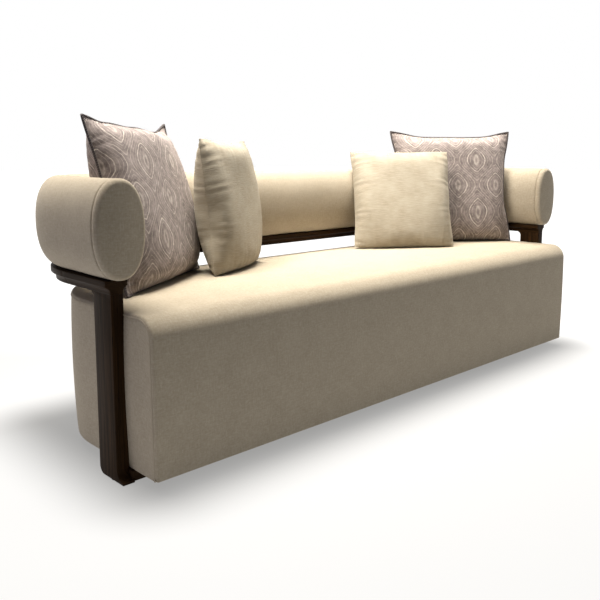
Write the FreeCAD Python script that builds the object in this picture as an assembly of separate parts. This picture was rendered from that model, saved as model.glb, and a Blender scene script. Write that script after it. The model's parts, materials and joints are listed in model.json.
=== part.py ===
"""Three-seater sofa: an upholstered seat block, a dark wooden frame of four posts that carry a U-shaped
rail, a fat padded roll on that rail for arms and back, and four loose scatter cushions.

Millimetres. The origin is on the floor, at the middle of the sofa's plan. +Z is up, the sofa faces -Y.
Sizes along Y are given from the front of the seat and turned into the frame by FRONT.
"""

import FreeCAD
import Part
import math
import os
from FreeCAD import Vector

# Seat block
SEAT_HALF_LENGTH = 1045.0
SEAT_DEPTH = 630.0
SEAT_BOTTOM = 33.0
SEAT_TOP = 446.0
SEAT_CORNER_RADIUS = 285.0
SEAT_FRONT_RADIUS = 55.0
SEAT_EDGE_RADIUS = 8.0
COVER = 2.0
PADDING = 20.0
BOARD = 18.0
BOARD_TOP = 300.0
SLACK = 0.3

# Wooden frame
POST_THICKNESS = 35.0
POST_DEPTH = 90.0
POST_FRONT = 126.0
POST_INNER = 1048.0
REAR_POST_X = 700.0
TOE = 28.0
TOE_HEIGHT = 9.0
HEEL_RADIUS = 22.0
RAIL_FILLET = 18.0
FOOT_REACH = 118.0
FOOT_INSET = -24.0
FOOT_LENGTH = 76.0
GLIDE_HEIGHT = 3.0
GLIDE_RADIUS = 18.0
RAIL_WIDTH = 62.0
RAIL_LIP = 16.0
RAIL_NECK = 20.0
RAIL_TOP = 527.0
RAIL_BACK_LINE = 651.5
CORNER_RADIUS = 292.0

# Padded roll on the rail
ROLL_INSET = 5.0
ROLL_WIDTH = 136.0
ROLL_HEIGHT = 252.0
ROLL_FRONT = 99.5
CAP_LENGTH = 27.5
CAP_EDGE = 20.0
ROLL_BOARD_WIDTH = 40.0
ROLL_BOARD_HEIGHT = 24.0
ROLL_BOARD_RISE = 9.0

# Fasteners
SCREW_RADIUS = 3.0
SCREW_HEAD_RADIUS = 6.0
SCREW_HEAD_HEIGHT = 4.0
BOLT_RADIUS = 4.0
BOLT_HEAD_RADIUS = 7.0
BOLT_HEAD_HEIGHT = 5.5
DOWEL_RADIUS = 5.0
DOWEL_LENGTH = 60.0
HOLE_PLAY = 0.1

# Scatter cushions: width, height and thickness, lower left corner (x, y from the seat front, z), turn about the
# vertical and lean back in degrees
CUSHIONS = {
    "scatter_left": {"size": (520.0, 505.0, 150.0), "corner": (-963.0, 239.0, 451.0), "turn": 33.0, "lean": 13.2},
    "plain_left": {"size": (416.0, 443.0, 136.0), "corner": (-617.0, 322.0, 446.5), "turn": 31.0, "lean": 6.0},
    "plain_right": {"size": (422.0, 430.0, 130.0), "corner": (234.0, 506.0, 446.5), "turn": -38.5, "lean": 19.2},
    "scatter_right": {"size": (540.0, 497.0, 150.0), "corner": (529.0, 528.0, 451.0), "turn": -34.0, "lean": 9.0},
}
PIPED = ("scatter_left", "scatter_right")
CUSHION_PANEL = 2.0
CUSHION_PULL = 0.05
PIPING = 5.0
SEAM_PLAY = 0.4
EDGE_LEVEL = 0.09
SECTION_LEVELS = (0.09, 0.45, 0.75, 0.95)
SECTION_POINTS = 40

# Places that follow from the sizes above
RAIL_HALF_SPAN = POST_INNER + POST_THICKNESS / 2
RAIL_BOTTOM = RAIL_TOP - RAIL_LIP - RAIL_NECK
ROLL_HALF_SPAN = RAIL_HALF_SPAN - ROLL_INSET
ROLL_BACK_LINE = RAIL_BACK_LINE - ROLL_INSET
ROLL_CORNER_RADIUS = CORNER_RADIUS - ROLL_INSET
ROLL_CENTRE = RAIL_TOP + ROLL_HEIGHT / 2
OVERALL_DEPTH = ROLL_BACK_LINE + ROLL_WIDTH / 2
FRONT = -OVERALL_DEPTH / 2
CORNER_START = FRONT + RAIL_BACK_LINE - CORNER_RADIUS
SEAM_FROM_EDGE = SEAT_EDGE_RADIUS + 0.5
SKIN = COVER + SLACK
BASE_BOTTOM = SEAT_BOTTOM + 1.0
BASE_TOP = BASE_BOTTOM + BOARD
BOARD_OUTSET = SKIN + PADDING
FAR = 3000.0

UP = Vector(0, 0, 1)
ORIGIN = Vector(0, 0, 0)


def save(shape, node):
    """Writes one node's solids to its STEP file."""
    if not shape.isValid():
        raise ValueError(node + " is not a valid solid")
    shape.exportStep("parts/" + node + ".step")
    print(node, len(shape.Solids), round(shape.Volume / 1000.0, 1))


def save_pair(shape, node):
    """Writes a piece of the left side and its mirror image on the right."""
    save(shape, node + "_left")
    save(mirrored(shape), node + "_right")


def mirrored(shape):
    """The same piece on the other side of the sofa."""
    return shape.mirror(ORIGIN, Vector(1, 0, 0))


def block(x0, x1, y0, y1, z0, z1):
    """A box between two corners."""
    return Part.makeBox(x1 - x0, y1 - y0, z1 - z0, Vector(x0, y0, z0))


def rod(radius, x, y, z0, z1):
    """An upright cylinder."""
    return Part.makeCylinder(radius, z1 - z0, Vector(x, y, z0), UP)


def arc(first, middle, last):
    """An arc edge through three points."""
    return Part.Arc(first, middle, last).toShape()


def corner_point(centre, radius, degrees):
    """A point on a circle, as (across, up)."""
    angle = math.radians(degrees)
    return (centre[0] + radius * math.cos(angle), centre[1] + radius * math.sin(angle))


def seat_plan(inset, z):
    """The seat's outline seen from above: straight front and ends, round rear corners."""
    side = SEAT_HALF_LENGTH - inset
    front = FRONT + inset
    rear = FRONT + SEAT_DEPTH - inset
    radius = SEAT_CORNER_RADIUS - inset
    turn = rear - radius
    inner = side - radius
    right = corner_point((inner, turn), radius, 45)
    left = corner_point((-inner, turn), radius, 135)
    edges = [
        Part.makeLine(Vector(-side, front, z), Vector(side, front, z)),
        Part.makeLine(Vector(side, front, z), Vector(side, turn, z)),
        arc(Vector(side, turn, z), Vector(right[0], right[1], z), Vector(inner, rear, z)),
        Part.makeLine(Vector(inner, rear, z), Vector(-inner, rear, z)),
        arc(Vector(-inner, rear, z), Vector(left[0], left[1], z), Vector(-side, turn, z)),
        Part.makeLine(Vector(-side, turn, z), Vector(-side, front, z)),
    ]
    return Part.Face(Part.Wire(edges))


def seat_block(inset, z0, z1):
    """The seat's outline as an upright block."""
    return seat_plan(inset, z0).extrude(Vector(0, 0, z1 - z0))


def soft_seat(inset, z0, z1, front_radius, edge_radius):
    """A seat block with a round top front edge and softened top and front corner edges."""
    body = seat_block(inset, z0, z1)
    front = FRONT + inset
    side = SEAT_HALF_LENGTH - inset

    def on_front_top(edge):
        box = edge.BoundBox
        return box.ZMin > z1 - 0.01 and box.YMax < front + 0.01

    def on_rim(edge):
        box = edge.BoundBox
        rim = box.ZMin > z1 - 0.01 and box.YMax > front + front_radius + 0.01 and box.XLength < 2 * side - 1
        rear = box.ZMin > z1 - 0.01 and box.YMin > FRONT + SEAT_DEPTH - inset - 0.01
        end = box.XLength < 0.01 and abs(abs(box.XMin) - side) < 0.01 and box.YMax < front + front_radius + 0.01
        return rim or rear or (end and box.ZLength > 1.0)

    body = body.makeFillet(front_radius, [e for e in body.Edges if on_front_top(e)])
    return body.makeFillet(edge_radius, [e for e in body.Edges if on_rim(e)])


def along_arm(face, half_span, start):
    """A section carried along the left arm, from start to where the corner begins."""
    placed = face.copy()
    placed.translate(Vector(-half_span, start, 0))
    return placed.extrude(Vector(0, CORNER_START - start, 0))


def along_corner(face, half_span, radius):
    """A section carried round the left rear corner."""
    placed = face.copy()
    placed.translate(Vector(-half_span, CORNER_START, 0))
    return placed.revolve(Vector(-half_span + radius, CORNER_START, 0), Vector(0, 0, -1), 90)


def along_back(face, half_span, radius):
    """A section carried straight along the back."""
    placed = face.copy()
    placed.rotate(ORIGIN, UP, -90)
    placed.translate(Vector(-half_span + radius, CORNER_START + radius, 0))
    return placed.extrude(Vector(2 * (half_span - radius), 0, 0))


def rail_section():
    """The rail's section: a wide lip over a neck that curves in to the thickness of the posts."""
    half = RAIL_WIDTH / 2
    neck = POST_THICKNESS / 2
    lip = RAIL_TOP - RAIL_LIP
    hollow = (neck + 0.3 * (half - neck), RAIL_BOTTOM + 0.62 * RAIL_NECK)
    edges = [
        Part.makeLine(Vector(-half, 0, RAIL_TOP), Vector(half, 0, RAIL_TOP)),
        Part.makeLine(Vector(half, 0, RAIL_TOP), Vector(half, 0, lip)),
        arc(Vector(half, 0, lip), Vector(hollow[0], 0, hollow[1]), Vector(neck, 0, RAIL_BOTTOM)),
        Part.makeLine(Vector(neck, 0, RAIL_BOTTOM), Vector(-neck, 0, RAIL_BOTTOM)),
        arc(Vector(-neck, 0, RAIL_BOTTOM), Vector(-hollow[0], 0, hollow[1]), Vector(-half, 0, lip)),
        Part.makeLine(Vector(-half, 0, lip), Vector(-half, 0, RAIL_TOP)),
    ]
    return Part.Face(Part.Wire(edges))


def roll_section(inset):
    """The roll's upright oval section."""
    centre = Vector(0, 0, ROLL_CENTRE)
    top = centre + Vector(0, 0, ROLL_HEIGHT / 2 - inset)
    side = centre + Vector(ROLL_WIDTH / 2 - inset, 0, 0)
    oval = Part.Ellipse(top, side, centre)
    return Part.Face(Part.Wire(oval.toShape()))


def board_section(z0, z1):
    """The section of the wooden board inside the roll, or of the slot that it fills."""
    half = ROLL_BOARD_WIDTH / 2
    corners = [(-half, z0), (half, z0), (half, z1), (-half, z1), (-half, z0)]
    return Part.Face(Part.makePolygon([Vector(x, 0, z) for x, z in corners]))


def plain_post():
    """A post standing at the origin: inner face on x = 0, front face on y = 0, toe forward, foot inward."""
    low = GLIDE_HEIGHT
    toe_top = TOE_HEIGHT
    back = POST_DEPTH
    slant = math.sqrt(0.5)
    toe_middle = Vector(0, -TOE + TOE * slant, toe_top + TOE - TOE * slant)
    fillet_middle = Vector(0, back + RAIL_FILLET * (1 - slant), RAIL_BOTTOM - RAIL_FILLET * (1 - slant))
    heel_centre = (back - HEEL_RADIUS, low + HEEL_RADIUS)
    heel_middle = Vector(0, heel_centre[0] + HEEL_RADIUS * slant, heel_centre[1] - HEEL_RADIUS * slant)
    toe_end = Vector(0, 0, toe_top + TOE)
    fillet_start = Vector(0, back + RAIL_FILLET, RAIL_BOTTOM)
    fillet_end = Vector(0, back, RAIL_BOTTOM - RAIL_FILLET)
    heel_start = Vector(0, back, low + HEEL_RADIUS)
    heel_end = Vector(0, back - HEEL_RADIUS, low)
    edges = [
        Part.makeLine(Vector(0, -TOE, low), Vector(0, -TOE, toe_top)),
        arc(Vector(0, -TOE, toe_top), toe_middle, toe_end),
        Part.makeLine(toe_end, Vector(0, 0, RAIL_BOTTOM)),
        Part.makeLine(Vector(0, 0, RAIL_BOTTOM), fillet_start),
        arc(fillet_start, fillet_middle, fillet_end),
        Part.makeLine(fillet_end, heel_start),
        arc(heel_start, heel_middle, heel_end),
        Part.makeLine(heel_end, Vector(0, -TOE, low)),
    ]
    post = Part.Face(Part.Wire(edges)).extrude(Vector(POST_THICKNESS, 0, 0))
    foot = block(-FOOT_REACH, 0, FOOT_INSET, FOOT_INSET + FOOT_LENGTH, low, SEAT_BOTTOM)
    return post.fuse(foot).removeSplitter()


def side_place(shape):
    """Moves a post, or what goes with it, from the origin to the left side of the sofa."""
    placed = shape.copy()
    placed.translate(Vector(POST_INNER, FRONT + POST_FRONT, 0))
    return mirrored(placed)


def rear_place(shape):
    """Turns a post, or what goes with it, to stand behind the seat on the left."""
    placed = shape.copy()
    placed.rotate(ORIGIN, UP, 90)
    placed.translate(Vector(REAR_POST_X + POST_DEPTH / 2, FRONT + RAIL_BACK_LINE - POST_THICKNESS / 2, 0))
    return mirrored(placed)


def four_places(shape):
    """A small piece of the post at all four posts, as separate solids."""
    left = [side_place(shape), rear_place(shape)]
    return Part.makeCompound(left + [mirrored(piece) for piece in left])


def post_tools():
    """What is bored into or fitted to every post: screws, bolts, nuts, pads, and the holes for them."""
    middle = POST_THICKNESS / 2
    screw_y = POST_DEPTH / 2
    head_low = RAIL_TOP - SCREW_HEAD_HEIGHT - 2.0
    screw_low = RAIL_BOTTOM - 45.0
    screw = rod(SCREW_RADIUS, middle, screw_y, screw_low, head_low)
    screw = screw.fuse(rod(SCREW_HEAD_RADIUS, middle, screw_y, head_low, head_low + SCREW_HEAD_HEIGHT))
    screw_hole = rod(SCREW_RADIUS + HOLE_PLAY, middle, screw_y, screw_low - 1, head_low)
    screw_hole = screw_hole.fuse(rod(SCREW_HEAD_RADIUS + HOLE_PLAY, middle, screw_y, head_low, RAIL_TOP + 1))
    bolt_x = -FOOT_REACH + 30.0
    bolt_y = FOOT_INSET + FOOT_LENGTH / 2
    head_top = GLIDE_HEIGHT + 1.0 + BOLT_HEAD_HEIGHT
    bolt = rod(BOLT_RADIUS, bolt_x, bolt_y, head_top, BASE_TOP + 8.0)
    bolt = bolt.fuse(rod(BOLT_HEAD_RADIUS, bolt_x, bolt_y, GLIDE_HEIGHT + 1.0, head_top))
    bolt_hole = rod(BOLT_RADIUS + HOLE_PLAY, bolt_x, bolt_y, 0, BASE_TOP + 20.0)
    head_hole = rod(BOLT_HEAD_RADIUS + 1.0, bolt_x, bolt_y, 0, head_top)
    nut = rod(11.0, bolt_x, bolt_y, BASE_TOP, BASE_TOP + 1.5)
    nut = nut.fuse(rod(5.5, bolt_x, bolt_y, BASE_TOP - 10.0, BASE_TOP)).cut(bolt_hole)
    nut_hole = rod(5.5 + HOLE_PLAY, bolt_x, bolt_y, BASE_TOP - 10.0 - HOLE_PLAY, BASE_TOP + 1.0)
    pad_y = POST_DEPTH / 2 - TOE / 2
    pads = [rod(GLIDE_RADIUS - 3.0, middle, pad_y, 0, GLIDE_HEIGHT)]
    pads.append(rod(GLIDE_RADIUS, -FOOT_REACH + 70.0, bolt_y, 0, GLIDE_HEIGHT))
    return {
        "screw": screw.removeSplitter(),
        "screw_hole": screw_hole,
        "bolt": bolt.removeSplitter(),
        "bolt_hole": bolt_hole,
        "foot_hole": bolt_hole.fuse(head_hole),
        "nut": nut.removeSplitter(),
        "nut_hole": nut_hole,
        "pads": Part.makeCompound(pads),
    }


def dowels(radius, length):
    """Pairs of dowels across the four joints of the rail."""
    reach = 16.0
    height = RAIL_TOP - RAIL_LIP / 2 - 1.0
    pegs = []
    for offset in (-reach, reach):
        at_arm = Vector(-RAIL_HALF_SPAN + offset, CORNER_START - length / 2, height)
        pegs.append(Part.makeCylinder(radius, length, at_arm, Vector(0, 1, 0)))
        back_x = -RAIL_HALF_SPAN + CORNER_RADIUS - length / 2
        at_back = Vector(back_x, FRONT + RAIL_BACK_LINE + offset, height)
        pegs.append(Part.makeCylinder(radius, length, at_back, Vector(1, 0, 0)))
    return Part.makeCompound(pegs + [mirrored(peg) for peg in pegs])


def roll_screws(shank, head):
    """Long screws up through the rail into the boards inside the roll."""
    arm_y = CORNER_START - 40.0
    places = [(-RAIL_HALF_SPAN + ROLL_INSET, arm_y), (-560.0, FRONT + ROLL_BACK_LINE), (-190.0, FRONT + ROLL_BACK_LINE)]
    places += [(-x, y) for x, y in places]
    tip = RAIL_TOP + ROLL_BOARD_RISE + 16.0
    screws = []
    for x, y in places:
        head_top = RAIL_BOTTOM + SCREW_HEAD_HEIGHT + 1.0
        body = rod(shank, x, y, head_top, tip)
        screws.append(body.fuse(rod(head, x, y, RAIL_BOTTOM + 1.0, head_top)).removeSplitter())
    return screws


def build_frame(tools):
    """Posts, rail, and what fastens them."""
    post = plain_post().cut(tools["screw_hole"]).cut(tools["foot_hole"])
    save_pair(side_place(post), "side_post")
    save_pair(rear_place(post), "rear_post")

    screw_holes = four_places(tools["screw_hole"])
    dowel_holes = dowels(DOWEL_RADIUS + HOLE_PLAY, DOWEL_LENGTH + 2.0)
    upward = roll_screws(SCREW_RADIUS + HOLE_PLAY, SCREW_HEAD_RADIUS + HOLE_PLAY)
    mouths = [rod(SCREW_HEAD_RADIUS + HOLE_PLAY, s.BoundBox.Center.x, s.BoundBox.Center.y, RAIL_BOTTOM - 1,
                  RAIL_BOTTOM + 2.0) for s in upward]
    bored = Part.makeCompound([screw_holes, dowel_holes] + upward + mouths)
    section = rail_section()
    save_pair(along_arm(section, RAIL_HALF_SPAN, FRONT + POST_FRONT).cut(bored), "arm_rail")
    save_pair(along_corner(section, RAIL_HALF_SPAN, CORNER_RADIUS).cut(dowel_holes), "corner_rail")
    save(along_back(section, RAIL_HALF_SPAN, CORNER_RADIUS).cut(bored), "back_rail")
    save(dowels(DOWEL_RADIUS, DOWEL_LENGTH), "rail_dowels")
    save(four_places(tools["screw"]), "post_screws")
    save(four_places(tools["bolt"]), "foot_bolts")
    save(four_places(tools["nut"]), "tee_nuts")
    save(four_places(tools["pads"]), "floor_glides")


def build_seat_carcase(tools):
    """The wooden box inside the seat, its webbing and its dust cover."""
    outer = BOARD_OUTSET
    inner = BOARD_OUTSET + BOARD
    rear = FRONT + SEAT_DEPTH
    turn = rear - SEAT_CORNER_RADIUS
    bolt_holes = four_places(tools["bolt_hole"])
    nut_holes = four_places(tools["nut_hole"])
    base = seat_block(outer, BASE_BOTTOM, BASE_TOP)
    save(base.cut(bolt_holes).cut(nut_holes), "base_panel")
    save(seat_block(12.0, SEAT_BOTTOM, BASE_BOTTOM).cut(bolt_holes), "dust_cover")
    end = SEAT_HALF_LENGTH - outer
    save(block(-end, end, FRONT + outer, FRONT + inner, BASE_TOP, BOARD_TOP), "front_board")
    save_pair(block(-end, -end + BOARD, FRONT + inner, turn, BASE_TOP, BOARD_TOP), "end_board")
    ring = seat_block(outer, BASE_TOP, BOARD_TOP).cut(seat_block(inner, BASE_TOP - 1, BOARD_TOP + 1))
    save(ring.common(block(-FAR, FAR, turn, FAR, 0, FAR)), "rear_board")
    dividers = []
    for x in (-SEAT_HALF_LENGTH / 2, 0.0, SEAT_HALF_LENGTH / 2):
        dividers.append(block(x - BOARD / 2, x + BOARD / 2, FRONT + inner, rear - inner, BASE_TOP, BOARD_TOP))
    save(Part.makeCompound(dividers), "divider_boards")
    strap = 70.0
    thick = 1.8
    straps = []
    for place in range(-6, 7):
        x = place * 140.0
        strip = block(x - strap / 2, x + strap / 2, FRONT + outer, rear - outer, BOARD_TOP, BOARD_TOP + thick)
        straps.append(strip.common(seat_block(outer, BOARD_TOP - 1, BOARD_TOP + 5)))
    for place in (170.0, 315.0, 460.0):
        low = BOARD_TOP + thick + 0.2
        reach = end - 60.0
        straps.append(block(-reach, reach, FRONT + place - strap / 2, FRONT + place + strap / 2, low, low + thick))
    save(Part.makeCompound(straps), "webbing_straps")


def build_seat_upholstery():
    """Foam, padding and the sewn cover of the seat."""
    rear = FRONT + SEAT_DEPTH
    turn = rear - SEAT_CORNER_RADIUS
    foam_low = BOARD_TOP + 4.4
    foam = soft_seat(SKIN, foam_low, SEAT_TOP - SKIN, SEAT_FRONT_RADIUS - COVER, SEAT_EDGE_RADIUS - COVER)
    save(foam, "seat_foam")
    corner = SEAT_EDGE_RADIUS + 4.0
    edge = SEAT_HALF_LENGTH - SKIN
    pad_top = BOARD_TOP
    front = block(-edge + corner, edge - corner, FRONT + SKIN, FRONT + BOARD_OUTSET, BASE_BOTTOM, pad_top)
    save(front, "front_padding")
    save_pair(block(-edge, -edge + PADDING, FRONT + BOARD_OUTSET, turn, BASE_BOTTOM, pad_top), "end_padding")
    ring = seat_block(SKIN, BASE_BOTTOM, pad_top).cut(seat_block(BOARD_OUTSET, BASE_BOTTOM - 1, pad_top + 1))
    save(ring.common(block(-FAR, FAR, turn, FAR, 0, FAR)), "rear_padding")

    outside = soft_seat(0, BASE_BOTTOM, SEAT_TOP, SEAT_FRONT_RADIUS, SEAT_EDGE_RADIUS)
    inside = soft_seat(COVER, SEAT_BOTTOM - 5.0, SEAT_TOP - COVER, SEAT_FRONT_RADIUS - COVER, SEAT_EDGE_RADIUS - COVER)
    skin = outside.cut(inside)
    seam_z = SEAT_TOP - SEAM_FROM_EDGE
    seam_y = FRONT + SEAM_FROM_EDGE
    bend = SEAT_FRONT_RADIUS - SEAM_FROM_EDGE
    upright = block(-FAR, FAR, seam_y, FAR, 0, seam_z)
    round_edge = [e for e in upright.Edges if e.BoundBox.XLength > FAR and e.BoundBox.YMax < seam_y + 1
                  and e.BoundBox.ZMin > seam_z - 1]
    upright = upright.makeFillet(bend, round_edge)
    band = skin.common(upright)
    save(skin.cut(upright), "seat_top_cover")
    save_pair(band.common(block(-FAR, -SEAT_HALF_LENGTH + SEAT_CORNER_RADIUS, -FAR, FAR, 0, FAR)), "end_panel")
    rear_half = SEAT_HALF_LENGTH - SEAT_CORNER_RADIUS
    save(band.common(block(-rear_half, rear_half, 0, FAR, 0, FAR)), "rear_panel")
    save_pair(end_welt(seam_y, seam_z, bend, turn), "end_welt")


def end_welt(seam_y, seam_z, bend, turn):
    """The sewn welt of the left end: up its front, back along its top and round to the middle of the rear."""
    width = 4.0
    proud = 1.5
    low = seam_z - width / 2
    high = seam_z + width / 2
    outer = -SEAT_HALF_LENGTH - proud
    band = block(outer, -SEAT_HALF_LENGTH, seam_y - width / 2, turn, BASE_BOTTOM, high)
    hole = block(outer - 1, FAR, seam_y + width / 2, FAR, 0, low)

    def rounded(shape, y, z, radius):
        edges = [e for e in shape.Edges if e.BoundBox.XLength > 1 and abs(e.BoundBox.YMin - y) < 0.01
                 and abs(e.BoundBox.ZMin - z) < 0.01 and e.BoundBox.ZLength < 0.01 and e.BoundBox.YLength < 0.01]
        return shape.makeFillet(radius, edges)

    band = rounded(band, seam_y - width / 2, high, bend + width / 2)
    hole = rounded(hole, seam_y + width / 2, low, bend - width / 2)
    ring = seat_block(-proud, low, high).cut(seat_block(0, low - 1, high + 1))
    rear = ring.common(block(-FAR, 0, turn, FAR, 0, FAR))
    return band.cut(hole).fuse(rear).removeSplitter()


def build_roll():
    """The roll's boards, foam, end caps and the five lengths of its sleeve."""
    span = ROLL_HALF_SPAN
    radius = ROLL_CORNER_RADIUS
    start = FRONT + ROLL_FRONT + CAP_LENGTH
    low = RAIL_TOP + ROLL_BOARD_RISE
    board = board_section(low, low + ROLL_BOARD_HEIGHT)
    slot = board_section(RAIL_TOP - 5.0, low + ROLL_BOARD_HEIGHT)
    screws = roll_screws(SCREW_RADIUS, SCREW_HEAD_RADIUS)
    holes = Part.makeCompound(roll_screws(SCREW_RADIUS + HOLE_PLAY, SCREW_HEAD_RADIUS + HOLE_PLAY))
    arm_board = along_arm(board, span, start + 20.0)
    save_pair(arm_board.fuse(along_corner(board, span, radius)).removeSplitter().cut(holes), "roll_board")
    save(along_back(board, span, radius).cut(holes), "roll_board_back")

    foam = roll_section(SKIN).cut(slot).Faces[0]
    save_pair(along_arm(foam, span, start), "roll_foam_arm")
    save_pair(along_corner(foam, span, radius), "roll_foam_corner")
    save(along_back(foam, span, radius), "roll_foam_back")

    ring = roll_section(0).cut(roll_section(COVER)).Faces[0]
    sides = [along_arm(ring, span, start), along_corner(ring, span, radius)]
    sides += [mirrored(piece) for piece in sides]
    save(Part.makeCompound(sides + [along_back(ring, span, radius)]), "roll_cover")
    save(Part.makeCompound(screws), "roll_screws")

    face = roll_section(0)
    face.translate(Vector(-span, start, 0))
    cap = face.extrude(Vector(0, -CAP_LENGTH, 0))
    rim = [e for e in cap.Edges if e.BoundBox.YMax < start - CAP_LENGTH + 0.5 and e.BoundBox.YLength < 0.5]
    save_pair(cap.makeFillet(CAP_EDGE, rim), "roll_end_cap")


def pillow_outline(wide, tall, level):
    """A closed smooth outline of a stuffed rectangle at one level of its thickness.

    A point at (u, v) of the rectangle stands level = sqrt((1 - u^2) (1 - v^2)) high, so the outline at a level is
    where that holds. The middles of the sides are pulled in.
    """
    points = []
    for step in range(SECTION_POINTS):
        turn = 2 * math.pi * step / SECTION_POINTS + math.pi / 4
        across = (math.cos(turn) * math.sin(turn)) ** 2
        free = 1 - level ** 2
        if across < 1e-9:
            reach = math.sqrt(free)
        else:
            reach = math.sqrt((1 - math.sqrt(1 - 4 * across * free)) / (2 * across))
        reach *= 1 - CUSHION_PULL * math.cos(2 * turn) ** 2
        points.append(Vector(reach * math.cos(turn) * wide / 2, 0, reach * math.sin(turn) * tall / 2))
    curve = Part.BSplineCurve()
    curve.interpolate(points, PeriodicFlag=True)
    return Part.Wire(curve.toShape())


def pillow_half(size, inset, direction):
    """One face of a stuffed rectangle, from its seam at y = 0 out to its crown, smaller all round by an inset."""
    wide, tall, thick = [length - 2 * inset for length in size]
    sections = []
    for level in SECTION_LEVELS:
        wire = pillow_outline(wide, tall, level)
        rise = (level - EDGE_LEVEL) / (SECTION_LEVELS[-1] - EDGE_LEVEL) * thick / 2
        wire.translate(Vector(0, direction * rise, 0))
        sections.append(wire)
    return Part.makeLoft(sections, True)


def cushion_place(shape, spec):
    """Leans and turns a cushion made at the origin, and stands it on the seat."""
    placed = shape.copy()
    placed.rotate(ORIGIN, Vector(1, 0, 0), -spec["lean"])
    placed.rotate(ORIGIN, UP, spec["turn"])
    turn = math.radians(spec["turn"])
    lean = math.radians(spec["lean"])
    wide, tall = spec["size"][:2]
    along = Vector(math.cos(turn), math.sin(turn), 0)
    back = Vector(-math.sin(turn), math.cos(turn), 0)
    rise = UP * math.cos(lean) + back * math.sin(lean)
    corner = Vector(spec["corner"][0], FRONT + spec["corner"][1], spec["corner"][2])
    placed.translate(corner + along * (wide / 2) + rise * (tall / 2))
    return placed


def build_cushion(name, spec):
    """One scatter cushion: two sewn panels round a filling, with piping along the seam where it has it."""
    size = spec["size"]
    for part, direction in (("front", -1), ("back", 1)):
        outer = pillow_half(size, 0, direction)
        inner = pillow_half(size, CUSHION_PANEL, direction)
        save(cushion_place(outer.cut(inner), spec), name + "_" + part)
    inset = CUSHION_PANEL + SLACK
    filling = pillow_half(size, inset, -1).fuse(pillow_half(size, inset, 1))
    save(cushion_place(filling, spec), name + "_filling")
    if name in PIPED:
        wide, tall = size[:2]
        seam = Part.Face(pillow_outline(wide + SEAM_PLAY, tall + SEAM_PLAY, EDGE_LEVEL))
        edging = Part.Face(pillow_outline(wide + 2 * PIPING, tall + 2 * PIPING, EDGE_LEVEL)).cut(seam).Faces[0]
        edging.translate(Vector(0, -PIPING / 2, 0))
        save(cushion_place(edging.extrude(Vector(0, PIPING, 0)), spec), name + "_piping")


def main():
    """Builds every piece of the sofa."""
    os.makedirs("parts", exist_ok=True)
    tools = post_tools()
    build_frame(tools)
    build_seat_carcase(tools)
    build_seat_upholstery()
    build_roll()
    for name, spec in CUSHIONS.items():
        build_cushion(name, spec)


main()
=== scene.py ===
"""Looks of a three-seater sofa: seat block, padded roll, dark wooden frame and four scatter cushions.

Metres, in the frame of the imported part: the origin is on the floor in the middle of the sofa, +Z is up and
the sofa faces -Y. Depths are counted back from the front of the seat, which stands at SEAT_FRONT.
"""

import json
import logging
import math
from collections.abc import Callable
from dataclasses import dataclass
from dataclasses import field
from enum import Enum
from functools import partial

import bpy
import numpy as np
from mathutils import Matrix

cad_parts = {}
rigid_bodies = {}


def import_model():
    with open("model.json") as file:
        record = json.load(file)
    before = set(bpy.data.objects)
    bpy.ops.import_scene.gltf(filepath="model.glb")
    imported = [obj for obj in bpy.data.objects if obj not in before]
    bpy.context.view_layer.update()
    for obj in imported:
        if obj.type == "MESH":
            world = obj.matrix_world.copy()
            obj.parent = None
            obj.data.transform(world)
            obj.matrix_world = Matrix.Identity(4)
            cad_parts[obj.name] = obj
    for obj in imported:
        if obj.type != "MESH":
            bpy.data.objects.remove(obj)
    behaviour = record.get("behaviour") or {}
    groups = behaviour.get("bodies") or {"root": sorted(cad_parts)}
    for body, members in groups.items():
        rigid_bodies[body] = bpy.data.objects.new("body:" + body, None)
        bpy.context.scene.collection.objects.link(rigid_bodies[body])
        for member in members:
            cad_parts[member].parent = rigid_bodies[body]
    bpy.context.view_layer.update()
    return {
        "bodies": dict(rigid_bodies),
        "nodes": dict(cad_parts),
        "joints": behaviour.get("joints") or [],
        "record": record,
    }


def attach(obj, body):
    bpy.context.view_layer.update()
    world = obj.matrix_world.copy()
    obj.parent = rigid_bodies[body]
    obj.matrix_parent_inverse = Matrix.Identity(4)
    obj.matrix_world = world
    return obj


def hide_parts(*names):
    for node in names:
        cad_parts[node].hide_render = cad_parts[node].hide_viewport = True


log = logging.getLogger("sofa")

Materials = dict[str, bpy.types.Material]
Triple = tuple[float, float, float]

SEAT_FRONT = -0.35725
FLAT_MAP = "flat"
FULL_TURN = 2.0 * math.pi
# Millimetres in a metre
MM = 1000.0
# Points of a mesh that are nearer than this become one
WELD = 2e-6
# Turns a plan line of the left half into one of the right half
FLIP = np.array([-1.0, 1.0])
# Where the rows of an eased edge stand on its quarter circle
EASE_STEPS = np.radians([0.0, 30.0, 60.0, 90.0])


class Side(Enum):
    """The two ends of the sofa, as the sign of X."""

    LEFT = -1
    RIGHT = 1


class Cloth(Enum):
    """What a scatter cushion is covered with."""

    PLAIN = "cream_fabric"
    PATTERNED = "patterned_fabric"


def linear(code: str) -> tuple[float, float, float, float]:
    """Turns an sRGB hex colour into Blender's linear RGBA.

    Args:
        code: six hex digits, such as "B3A795".

    Returns:
        Linear red, green, blue and an alpha of one.
    """
    parts = np.array([int(code[i:i + 2], 16) for i in (0, 2, 4)]) / 255.0
    low = parts / 12.92
    high = ((parts + 0.055) / 1.055) ** 2.4
    red, green, blue = np.where(parts <= 0.04045, low, high)
    return (float(red), float(green), float(blue), 1.0)


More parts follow.
